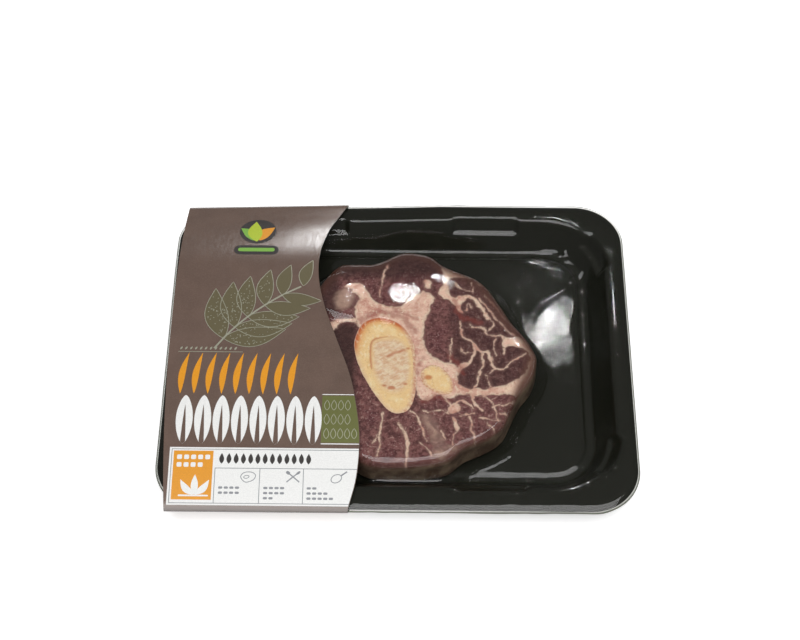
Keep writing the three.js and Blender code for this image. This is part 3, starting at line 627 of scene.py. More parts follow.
def add_object(name, points, faces, smooth=True, slots=None):
    """An object whose place is in its mesh, from points in mm and a list or array of faces."""
    mesh = bpy.data.meshes.new(name)
    mesh.from_pydata(to_frame(points).tolist(), [], faces.tolist() if hasattr(faces, "tolist") else faces)
    mesh.polygons.foreach_set("use_smooth", np.full(len(mesh.polygons), smooth))
    if slots is not None:
        mesh.polygons.foreach_set("material_index", np.asarray(slots, "i"))
    mesh.update()
    obj = bpy.data.objects.new(name, mesh)
    bpy.context.scene.collection.objects.link(obj)
    return obj


def grid_faces(rows, columns):
    """Quads of a grid of points numbered row by row, closed round its columns."""
    r, c = np.meshgrid(np.arange(rows - 1), np.arange(columns), indexing="ij")
    after = (c + 1) % columns
    quad = np.stack([r * columns + c, (r + 1) * columns + c, (r + 1) * columns + after,
                     r * columns + after], -1)
    return quad.reshape(-1, 4)


def loft(name, rings, top, bottom):
    """A closed skin over rings of equally many points, from a top pole outwards and back to a bottom
    pole. Rings are an array of shape rings by points by 3, anticlockwise seen from above."""
    rows, columns, _ = rings.shape
    points = np.vstack([rings.reshape(-1, 3), top, bottom])
    k = np.arange(columns)
    after = (k + 1) % columns
    last = (rows - 1) * columns
    caps = [[rows * columns, a, b] for a, b in zip(k.tolist(), after.tolist())]
    caps += [[rows * columns + 1, last + b, last + a] for a, b in zip(k.tolist(), after.tolist())]
    return add_object(name, points, grid_faces(rows, columns).tolist() + caps)


def spread_rings(weight, radius, count):
    """Ring radii along each ray so that equal shares of a weight lie between them. The weight is first
    averaged over neighbouring rays, so that the rings don't wander."""
    aside = 7
    kernel = np.hanning(2 * aside + 3)[1:-1]
    kernel /= kernel.sum()
    padded = np.concatenate([weight[-aside:], weight, weight[:aside]])
    weight = sum(k * padded[j:j + len(weight)] for j, k in enumerate(kernel))
    total = np.cumsum(weight, 1)
    total = (total - total[:, :1]) / (total[:, -1:] - total[:, :1])
    shares = np.linspace(0, 1, count + 1)[1:]
    return np.array([np.interp(shares, row, r) for row, r in zip(total, radius)])


def along_rays(table, radius_table, radius):
    """Values at a radius on each ray from a table of even steps."""
    return np.array([np.interp(r, known, row) for r, known, row in zip(radius, radius_table, table)])


def crowded_rings(height, fine, even, sharp, count):
    """Rings that crowd where a height along rays is steep or bends, by a weight that is a constant plus
    the slope plus a share of the bend, both held below a limit. Gives their radii, heights and slopes."""
    slope = np.gradient(height, axis=1) / np.gradient(fine, axis=1)
    bend = np.abs(np.gradient(slope, axis=1)) / np.gradient(fine, axis=1)
    weight = even + np.minimum(np.abs(slope), STEEPEST) + sharp * np.minimum(bend, SHARPEST)
    radius = spread_rings(weight, fine, count)
    return radius, along_rays(height, fine, radius), along_rays(slope, fine, radius)


def polar_rings(angle, radius, height):
    """Rings of points from arrays of rays by rings."""
    x, y = ray_points(angle[:, None], radius)
    return np.stack([x, y, height], -1).transpose(1, 0, 2)


def set_attribute(obj, name, values):
    """A float for each vertex, which a material reads by its name."""
    obj.data.attributes.new(name, "FLOAT", "POINT").data.foreach_set("value", np.asarray(values, "f"))


def mesh_points(obj):
    """The vertices of an object in mm of the tray's frame."""
    flat = np.empty(3 * len(obj.data.vertices))
    obj.data.vertices.foreach_get("co", flat)
    return flat.reshape(-1, 3) / MM - (0, SHIFT_Y, 0)


# Materials


def add_node(material, kind, inputs=None, output=0, **settings):
    """One node with its settings, and its inputs set to values or linked from sockets. Hands back one of
    its outputs."""
    node = material.node_tree.nodes.new("ShaderNode" + kind)
    for name, value in settings.items():
        setattr(node, name, value)
    for name, value in (inputs or {}).items():
        if isinstance(value, bpy.types.NodeSocket):
            material.node_tree.links.new(value, node.inputs[name])
        else:
            node.inputs[name].default_value = value
    return node.outputs[output] if node.outputs else node


def new_material(name):
    """An empty node material, add_node bound to it, and its Object coordinates in mm."""
    material = bpy.data.materials.new(name)
    material.use_nodes = True
    material.node_tree.nodes.clear()
    add = partial(add_node, material)
    where = add("Mapping", {"Vector": add("TexCoord", output="Object"), "Scale": (1 / MM,) * 3})
    return material, add, where


def paint(add, body, *layers):
    """Layers of colour over a body colour. Each is a value, two limits, a share, a colour and any masks:
    the colour is laid on by up to that share, smoothly as the value goes from the first limit to the
    second, times the masks."""
    for value, low, high, most, colour, *masks in layers:
        share = add("MapRange", {"Value": value, "From Min": low, "From Max": high, "To Max": most},
                    interpolation_type="SMOOTHSTEP")
        for mask in masks:
            share = add("Math", {0: share, 1: mask}, operation="MULTIPLY")
        colour = linear(colour) if isinstance(colour, str) else colour
        body = add("Mix", {0: share, 6: body, 7: colour}, 2, data_type="RGBA")
    return body


def darkened(colour, share):
    """A share of a colour's light."""
    return tuple(share * c for c in colour[:3]) + (1,)


def polypropylene_material(colour):
    """Thermoformed polypropylene: black, satin, with the faint grain that the mould leaves."""
    material, add, where = new_material("thermoformed_polypropylene")
    grain, cloud = (add("TexNoise", {"Vector": where, "Scale": 1 / size, "Detail": detail})
                    for size, detail in ((0.35, 3.0), (18.0, 2.0)))
    tone = add("Mix", {0: cloud, 6: colour, 7: darkened(colour, 0.72)}, 2, data_type="RGBA")
    rough = add("MapRange", {"Value": grain, "From Min": 0.3, "From Max": 0.7, "To Min": 0.42,
                             "To Max": 0.52}, interpolation_type="SMOOTHSTEP")
    normal = add("Bump", {"Height": grain, "Strength": 0.4, "Distance": 0.02 * MM})
    # The film is bonded to the tray, so little light turns back between the two
    shader = add("BsdfPrincipled", {"Base Color": tone, "Roughness": rough, "IOR": 1.22, "Normal": normal})
    add("OutputMaterial", {"Surface": shader})
    return material


def film_material():
    """Ionomer skin film: clear, with a mirror-like gloss, faint drawing streaks and a fine crinkle. Its
    cut edge, seen end on, is dull and darker."""
    material, add, where = new_material("clear_skin_film")
    ripple = add("TexNoise", {"Vector": where, "Scale": 1 / 7.0, "Detail": 2.0})
    drawn = add("Mapping", {"Vector": where, "Scale": (1, 0.7, 1)})
    crinkle = add("TexNoise", {"Vector": drawn, "Scale": 1 / 1.1, "Detail": 3.0, "Roughness": 0.6})
    relief = add("Math", {0: crinkle, 1: 0.4, 2: ripple}, operation="MULTIPLY_ADD")
    normal = add("Bump", {"Height": relief, "Strength": 0.6, "Distance": 0.11 * MM})
    gloss = add("BsdfGlossy", {"Color": linear("#ffffff"), "Roughness": 0.05, "Normal": normal})
    clear = add("BsdfTransparent", {"Color": linear("#fcfcfa")})
    mirror = add("Fresnel", {"IOR": 1.46, "Normal": normal})
    front = add("Math", {0: 1.0, 1: add("NewGeometry", output="Backfacing")}, operation="SUBTRACT")
    share = add("Math", {0: mirror, 1: front}, operation="MULTIPLY")
    body = add("MixShader", {0: share, 1: clear, 2: gloss})
    dull = add("BsdfDiffuse", {"Color": linear("#565b48")})
    cut = add("MapRange", {"Value": add("Attribute", output="Fac", attribute_name="cut_edge"),
                           "To Max": 0.85}, interpolation_type="SMOOTHSTEP")
    add("OutputMaterial", {"Surface": add("MixShader", {0: cut, 1: body, 2: dull})})
    return material


def beef_material(colours):
    """Raw beef cut across its fibres: moist muscle in fine bundles with pale specks, partly painted glints
    of its wet face, crossed by seams and fields of fat, with blood under the film, pale fields of sinews
    with painted film sheen and glare, painted shade, and a dull, darker cut side."""
    material, add, where = new_material("raw_beef")
    # Specks are drawn about twice their real size, as finer ones vanish in the picture
    speck, grain, medium, broad = (
        add("TexNoise", {"Vector": where, "Scale": 1 / size, "Detail": detail, "Roughness": roughness})
        for size, detail, roughness in ((0.75, 2, 0.7), (1.5, 3, 0.65), (3.0, 4, 0.6), (9.0, 3, 0.5)))
    inside, sinew_and_sheen, blood, rim, depth, marbling, shade = (
        add("Attribute", output="Fac", attribute_name=name)
        for name in ("fat_edge", "sinew_and_sheen_edge", "blood_edge", "outer_edge", "depth", "marbling", "shade"))
    # Thin threads of fat along the borders of cells about 6 mm wide
    swirl = add("TexNoise", {"Vector": where, "Scale": 1 / 3.0, "Detail": 3.0}, "Color")
    bent = add("VectorMath", {0: where, 1: swirl}, operation="ADD")
    cells = add("TexVoronoi", {"Vector": bent, "Scale": 1 / 6.0, "Randomness": 1.0}, "Distance",
                feature="DISTANCE_TO_EDGE")
    patchy = add("MapRange", {"Value": medium, "From Min": 0.5, "From Max": 0.66, "To Max": 0.75},
                 interpolation_type="SMOOTHSTEP")
    # Pale specks in clusters: partly the meat's own, partly painted glints of its wet face under the film
    pale_specks_and_glints = add("Math", {0: broad, 1: 0.35, 2: speck}, operation="MULTIPLY_ADD")
    # Pale fields: a sheet of sinews with the film's sheen painted in, and painted glare of the film
    sinew_and_sheen_mask = add("Math", {0: medium, 1: 6.0, 2: sinew_and_sheen}, operation="MULTIPLY_ADD")
    thin = paint(add, linear("#8c6f69"), (broad, 0.42, 0.6, 1, "#c8a898"))
    muscle = paint(
        add, colours.muscle_dark,
        (medium, 0.36, 0.64, 1, colours.muscle_light),
        (broad, 0.42, 0.66, 0.55, "#64363c"),
        (grain, 0.53, 0.72, 0.45, "#94706f"),
        (grain, 0.46, 0.30, 0.5, "#3f2226"),
        (pale_specks_and_glints, 0.78, 0.94, 0.6, "#bfa3a0"),
        (speck, 0.42, 0.28, 0.5, "#381d22"),
        (cells, 0.05, 0.0, 1, "#b79a92", patchy, marbling),
        # Painted shade, as the shade attribute gives it
        (shade, 0, 1, 0.82, "#33201f"),
        (sinew_and_sheen_mask, 3.8, -0.4, 0.6, thin),
    )
    fat = paint(
        add, colours.fat_deep,
        (inside, -2.2, -0.2, 1, colours.fat_thin),
        (broad, 0.45, 0.68, 0.75, "#c08478"),
        (medium, 0.5, 0.66, 0.6, "#ead4bd"),
        (grain, 0.54, 0.70, 0.45, "#f2e4d8"),
        (grain, 0.46, 0.32, 0.5, "#b97a6e"),
        (speck, 0.40, 0.26, 0.4, "#8d4f4a"),
    )
    side = paint(add, linear("#5a4a3f"), (broad, 0.38, 0.64, 1, "#857463"))
    # Both noises stray by half their reach to either side of zero, so that edges are ragged
    broken = add("Math", {0: medium, 1: 2.2, 2: -1.1}, operation="MULTIPLY_ADD")
    wander = add("Math", {0: speck, 1: 1.1, 2: -0.55}, operation="MULTIPLY_ADD")
    ragged = add("Math", {0: wander, 1: broken}, operation="ADD")
    seam, blood, depth = (add("Math", {0: value, 1: stray}, operation="ADD")
                          for value, stray in ((inside, ragged), (blood, broken), (depth, broken)))
    body = paint(
        add, muscle,
        # Muscle shows through the thin fat beside every seam
        (seam, 1.3, -0.1, 0.55, "#86645f"),
        (seam, 0.35, -0.45, 1, fat),
        (blood, 1.8, -0.9, 0.52, "#8d413b"),
        (rim, 10.0, 2.0, 0.92, "#57372f"),
        (depth, 1.5, 5.0, 0.85, side),
    )
    swell = add("MapRange", {"Value": seam, "From Min": 0.5, "From Max": -0.5, "To Max": 0.6},
                interpolation_type="SMOOTHSTEP")
    relief = add("Math", {0: grain, 1: swell}, operation="ADD")
    normal = add("Bump", {"Height": relief, "Strength": 0.7, "Distance": 0.3 * MM})
    shader = add("BsdfPrincipled", {"Base Color": body, "Roughness": 0.55, "IOR": 1.25, "Normal": normal})
    add("OutputMaterial", {"Surface": shader})
    return material


def bone_material(colours):
    """Sawn bone: yellow ivory, orange to red towards its back and left rim, with a pale skin round it and
    saw marks across."""
    material, add, where = new_material("sawn_bone")
    drawn = add("Mapping", {"Vector": where, "Scale": (0.8, 0.5, 1)})
    broad, grain, streaks = (
        add("TexNoise", {"Vector": vector, "Scale": 1 / size, "Detail": detail, "Roughness": roughness})
        for vector, size, detail, roughness in (
            (where, 5.0, 3.0, 0.5), (where, 1.3, 4.0, 0.65), (drawn, 1.4, 3.0, 0.5)))
    rim, warm, core, grown = (add("Attribute", output="Fac", attribute_name=name)
                              for name in ("rim_distance", "warmth", "core_distance", "gristle"))
    wander = add("Math", {0: broad, 1: 2.0, 2: rim}, operation="MULTIPLY_ADD")
    body = paint(
        add, linear("#e4c3a0"),
        (wander, 1.0, 4.0, 1, colours.bone_body),
        (broad, 0.48, 0.68, 0.6, "#f1d9ac"),
        (wander, 7.0, 2.0, 1, colours.bone_rim, warm),
        (wander, 4.2, 1.8, 0.9, "#c4603c", warm),
        (core, 1.8, 0.2, 0.8, "#c2703f"),
        (rim, 0.75, 0.2, 0.8, "#dcb8a6"),
        (streaks, 0.54, 0.70, 0.5, "#f3e3c6"),
        (grain, 0.45, 0.30, 0.5, "#c99a6c"),
    )
    # Where gristle grows into the bone its colour runs over the edge
    gristle = paint(add, linear("#c98f7c"), (grain, 0.42, 0.6, 1, "#e6cbb0"))
    body = add("Mix", {0: grown, 6: body, 7: gristle}, 2, data_type="RGBA")
    relief = add("Math", {0: grain, 1: streaks}, operation="ADD")
    normal = add("Bump", {"Height": relief, "Strength": 0.6, "Distance": 0.25 * MM})
    shader = add("BsdfPrincipled", {"Base Color": body, "Roughness": 0.55, "IOR": 1.3, "Normal": normal})
    add("OutputMaterial", {"Surface": shader})
    return material


def marrow_material(colours):
    """Marrow: pale waxy fat with slanting sawn streaks and orange stains, merging into the bone."""
    material, add, where = new_material("marrow_fat")
    slanting = add("Mapping", {"Vector": where, "Rotation": (0, 0, 0.62), "Scale": (3.2, 1, 1)},
                   vector_type="TEXTURE")
    swirl, grain, streaks = (
        add("TexNoise", {"Vector": vector, "Scale": 1 / size, "Detail": detail, "Roughness": roughness})
        for vector, size, detail, roughness in (
            (where, 3.0, 4.0, 0.65), (where, 1.1, 3.0, 0.65), (slanting, 1.3, 3.0, 0.6)))
    edge, core = (add("Attribute", output="Fac", attribute_name=name)
                  for name in ("rim_distance", "core_distance"))
    body = paint(
        add, colours.marrow_pale,
        (swirl, 0.38, 0.62, 1, colours.marrow_warm),
        (streaks, 0.50, 0.68, 0.55, "#efe2cf"),
        (streaks, 0.47, 0.34, 0.4, "#cba384"),
        (grain, 0.44, 0.30, 0.35, "#bd9274"),
        (edge, 3.4, 0.4, 0.8, colours.bone_body),
        (core, 1.7, 0.2, 0.8, "#bf7450"),
    )
    relief = add("Math", {0: streaks, 1: grain}, operation="ADD")
    normal = add("Bump", {"Height": relief, "Strength": 0.7, "Distance": 0.4 * MM})
    shader = add("BsdfPrincipled", {"Base Color": body, "Roughness": 0.55, "IOR": 1.3, "Normal": normal})
    add("OutputMaterial", {"Surface": shader})
    return material


def board_material(name, colour, roughness):
    """Coated carton board under a satin lacquer: mottled ink, rolled streaks and a faint fibre grain."""
    material, add, where = new_material(name)
    rolled = add("Mapping", {"Vector": where, "Scale": (1, 0.05, 1)})
    fibre, cloud, roll = (
        add("TexNoise", {"Vector": vector, "Scale": 1 / size, "Detail": detail, "Roughness": rough})
        for vector, size, detail, rough in (
            (where, 0.6, 3.0, 0.6), (where, 14.0, 4.0, 0.6), (rolled, 0.9, 3.0, 0.5)))
    # Painted shade: the board is darkened along the band's front crease, which turns down and away from the
    # light
    fold_shade = add("Attribute", output="Fac", attribute_name="fold_shade")
    body = paint(add, colour, (cloud, 0.3, 0.7, 0.7, darkened(colour, 0.8)),
                 (fibre, 0.4, 0.72, 0.14, "#8d7c72"))
    body = add("Mix", {0: fold_shade, 6: body, 7: darkened(colour, 0.4)}, 2, data_type="RGBA")
    rough = add("MapRange", {"Value": roll, "From Min": 0.3, "From Max": 0.7, "To Min": roughness - 0.03,
                             "To Max": roughness + 0.05}, interpolation_type="SMOOTHSTEP")
    relief = add("Math", {0: fibre, 1: roll}, operation="ADD")
    normal = add("Bump", {"Height": relief, "Strength": 0.4, "Distance": 0.015 * MM})
    shader = add("BsdfPrincipled", {"Base Color": body, "Roughness": rough, "IOR": 1.65, "Normal": normal})
    add("OutputMaterial", {"Surface": shader})
    return material


def ink_material(name, colour, roughness=0.4, metallic=0.0, relief_mm=0.01):
    """A field of ink or foil on board: even colour, with the board's grain showing through."""
    material, add, where = new_material(name)
    fibre = add("TexNoise", {"Vector": where, "Scale": 1 / 0.5, "Detail": 3.0, "Roughness": 0.6})
    body = paint(add, colour, (fibre, 0.3, 0.7, 1, darkened(colour, 0.88)))
    normal = add("Bump", {"Height": fibre, "Strength": 0.4, "Distance": relief_mm * MM})
    shader = add("BsdfPrincipled", {"Base Color": body, "Roughness": roughness, "Metallic": metallic,
                                    "IOR": 1.5, "Normal": normal})
    add("OutputMaterial", {"Surface": shader})
    return material


def floor_material():
    """Matt white studio paper, lit through from below."""
    material, add, where = new_material("studio_paper")
    grain = add("TexNoise", {"Vector": where, "Scale": 1 / 2.0, "Detail": 3.0})
    tone = add("Mix", {0: grain, 6: linear("#fbfbfb"), 7: linear("#f8f8f8")}, 2, data_type="RGBA")
    shader = add("BsdfPrincipled", {"Base Color": tone, "Roughness": 0.9, "IOR": 1.3,
                                    "Emission Color": linear("#ffffff"), "Emission Strength": PAPER_GLOW})
    add("OutputMaterial", {"Surface": shader})
    return material


# Pieces


def make_tray(settings):
    """The tray: its upper face is the height function on rings that crowd where it bends; the lower face
    is the same moved down the surface's normal by the wall, and the flange's edge is rounded."""
    rays = settings.tray_rays
    angle = np.arange(rays) * 2 * np.pi / rays
    reach = ray_reach(angle, lambda x, y: rectangle_distance(x, y - FLANGE_SHIFT, FLANGE_OUTLINE))
    fine = reach[:, None] * np.linspace(0.02, 1, TRAY_STEPS)[None]
    height = tray_height(*ray_points(angle[:, None], fine))
    radius, z, slope = crowded_rings(height, fine, 0.35, 1.6, settings.tray_rings)
    upper = polar_rings(angle, radius, z)
    length = np.sqrt(1 + slope**2)
    lower = polar_rings(angle, radius + TRAY_WALL * slope / length, z - TRAY_WALL / length)[::-1]
    lower[..., 2] = np.maximum(lower[..., 2], FOOT)
    # The edge bulges past its faces' last rings, which are drawn in
    edge = polar_rings(angle, radius[:, -1:] + np.array([EDGE_BULGE]) - max(EDGE_BULGE),
                       z[:, -1:] - TRAY_WALL * np.array([EDGE_SHARES]))
    upper[-1] = polar_rings(angle, radius[:, -1:] - EDGE_IN, z[:, -1:])[0]
    lower[0] = polar_rings(angle, radius[:, -1:] - EDGE_IN, z[:, -1:] - TRAY_WALL)[0]
    rings = np.concatenate([upper, edge, lower])
    return loft("thermoformed_tray", rings, (*CENTRE, FLOOR), (*CENTRE, FLOOR - TRAY_WALL))


def film_surface(angle, fine):
    """Height of the film's seat: the higher of tray and steak, closed by a parabola. Closing raises each
    point to the highest parabola that opens upwards and still touches the solid from above, as a thin
    sheet under vacuum spans an inner corner."""
    x, y = ray_points(angle[:, None], fine)
    solid = np.maximum(tray_height(x, y), steak_height(angle[:, None], fine))
    step = fine[:, 1] - fine[:, 0]
    # The film spans the tray's corners more widely than its straight walls, most of all at the back
    corner = np.full(angle.shape, FILM_SPAN)
    for cx, cy, more in FILM_CORNER_SPANS:
        off = angle - math.atan2(cy - CENTRE[1], cx - CENTRE[0])
        off = (np.degrees(off) + 180) % 360 - 180
        corner = corner + more * np.exp(-(off / FILM_CORNER_TURN) ** 2)

    def sweep(source, pick, sign):
        best = source.copy()
        for j in range(-CLOSING_STEPS, CLOSING_STEPS + 1):
            moved = np.roll(source, j, 1)
            moved[:, :max(j, 0)] = source[:, :1]
            if j < 0:
                moved[:, j:] = source[:, -1:]
            best = pick(best, moved + sign * ((j * step) ** 2 / (2 * corner))[:, None])
        return best

    raised = sweep(solid, np.maximum, -1)
    return x, y, sweep(raised, np.minimum, 1)


def film_folds(x, y):
    """Ridges along lines, each a bell of its half width, and the tent: a low crease with one length of
    decay in front of its line and another behind it. Towards the front right corner the film leaves the
    floor along a parabola."""
    rise = np.zeros(x.shape)
    for height, width, points in FILM_FOLDS:
        ends = stroke_distance(x, y, points, 0, 0)
        rise = rise + height * np.exp(-(ends / width) ** 2)
    line = open_curve(FILM_TENT, 40)
    away = stroke_distance(x, y, FILM_TENT, 0, 0)
    share = (x - line[0, 0]) / (line[-1, 0] - line[0, 0])
    front = y < np.interp(x, line[:, 0], line[:, 1])
    fade = plateau(share, *TENT_ENDS)
    rise = rise + fade * TENT_RISE * np.exp(-away / np.where(front, TENT_FRONT, TENT_BACK))
    inside = np.clip(rectangle_distance(x, y, PANEL_OUTLINE) + LIFT_INSIDE, 0, LIFT_INSIDE + LIFT_PAST)
    place = np.exp(-((x - LIFT_X) / LIFT_HALF) ** 2) * smooth_step(LIFT_FROM, LIFT_TO, y)
    return rise + 0.5 * LIFT_BEND * inside**2 * place


def film_wrinkles(x, y, height):
    """Small folds of the film: pleats that fan out of the tray's corners over wall and floor, pulls that
    leave the steak's foot, and a faint waviness everywhere."""
    waves = WAVE * lattice_noise(x, y, WAVE_SIZE, 3)
    # Along the front wall's foot the film is drawn into short wrinkles
    foot = np.exp(-((rectangle_distance(x, y, PANEL_OUTLINE) - 1) / 3.5) ** 2) * smooth_step(-20, -40, y)
    waves = waves + film_folds(x, y) + FOOT_WRINKLE * foot * lattice_noise(x, 3 * y, FOOT_WRINKLE_SIZE, 9)
    for sx, sy in ((1, 1), (1, -1), (-1, 1), (-1, -1)):
        cx, cy = sx * PLEAT_X, sy * PLEAT_Y
        turn = np.degrees(np.arctan2((y - cy) * sy, (x - cx) * sx))
        away = np.hypot(x - cx, y - cy)
        spread = np.exp(-((turn - PLEAT_TURN) / PLEAT_SPREAD) ** 2) * plateau(away, PLEAT_FROM, PLEAT_TO, 12)
        comb = np.sin(np.radians(turn) * PLEATS + 0.6 * lattice_noise(x, y, 9.0, 5)) ** 3
        waves = waves + PLEAT * spread * comb
    angle = np.arctan2(y - CENTRE[1], x - CENTRE[0])
    foot = np.hypot(x - CENTRE[0], y - CENTRE[1]) - steak_edge(angle)
    pulls = np.sin(angle * PULLS + 1.3 * lattice_noise(x, y, 14.0, 6)) ** 3
    return waves + PULL * pulls * plateau(foot, 2, 9, 5) * (height < RIM - 6) * smooth_step(10, -10, y)


def make_film(settings):
    """The film: its seat with folds on top, as a thin closed sheet of even thickness."""
    rays = settings.film_rays
    angle = np.arange(rays) * 2 * np.pi / rays
    reach = ray_reach(angle, lambda x, y: rectangle_distance(x, y - FILM_SHIFT, FILM_OUTLINE))
    fine = reach[:, None] * np.linspace(0.01, 1, FILM_STEPS)[None]
    x, y, height = film_surface(angle, fine)
    past = np.maximum(rectangle_distance(x, y - FLANGE_SHIFT, FLANGE_OUTLINE), 0)
    height = np.where(past > 0, RIM - LIP_DROP - 0.5 * past, height)
    radius, seat, slope = crowded_rings(height, fine, 0.5, 1.2, settings.film_rings)
    # Half of the height is averaged over neighbouring rays
    kernel = np.array([1, 2, 3, 2, 1]) / 9
    z = sum(k * np.roll(seat, j - 2, 0) for j, k in enumerate(kernel)) * 0.5 + seat * 0.5
    x, y = ray_points(angle[:, None], radius)
    z = z + FILM_GAP + film_wrinkles(x, y, z)
    for cx, cy, lift, slope_x, slope_y, half_x, half_y in FILM_PATCHES:
        patch = float(steak_top(cx, cy)) + FILM_GAP + lift + slope_x * (x - cx) + slope_y * (y - cy)
        away = np.hypot((x - cx) / half_x, (y - cy) / half_y)
        patch = patch + PATCH_DISH / 2 * ((x - cx) ** 2 + (y - cy) ** 2)
        z = soft_max(z, np.minimum(patch - PATCH_FALL * away**6, FILM_HIGHEST), PATCH_ROUND)
    over = np.clip(rectangle_distance(x, y - FLANGE_SHIFT, FLANGE_OUTLINE), 0, 3)
    z = np.maximum(z, seat + FILM_LEAST_GAP) + EDGE_WAVE * over * lattice_noise(x, y, 6.0, 8)
    length = np.sqrt(1 + slope**2)
    gauge = settings.film_gauge / MM
    upper = polar_rings(angle, radius - gauge * slope / length, z + gauge / length)
    lower = polar_rings(angle, radius, z)[::-1]
    middle = float(steak_top(*CENTRE[:, None])[0]) + FILM_GAP
    obj = loft("skin_film", np.concatenate([upper, lower]), (*CENTRE, middle + gauge), (*CENTRE, middle))
    p = mesh_points(obj)
    cut = rectangle_distance(p[:, 0], p[:, 1] - FILM_SHIFT, FILM_OUTLINE)
    set_attribute(obj, "cut_edge", smooth_step(-0.45, -0.05, cut))
    return obj


def warped(x, y):
    """Places moved a little by noise, so that drawn edges wander as grown ones do."""
    return (x + 0.7 * lattice_noise(x, y, 3.4, 11) + 0.4 * lattice_noise(x, y, 1.3, 12),
            y + 0.7 * lattice_noise(x, y, 3.4, 13) + 0.4 * lattice_noise(x, y, 1.3, 14))


def fat_distance(x, y):
    """Signed distance to the nearest fat field or seam, negative inside it."""
    nearest = np.full(x.shape, FAR_OFF)
    for field in FAT_FIELDS:
        nearest = np.minimum(nearest, outline_distance(x, y, closed_curve(field, 3 * len(field))))
    for start, end, points in FAT_SEAMS:
        nearest = np.minimum(nearest, stroke_distance(x, y, points, start, end))
    return nearest


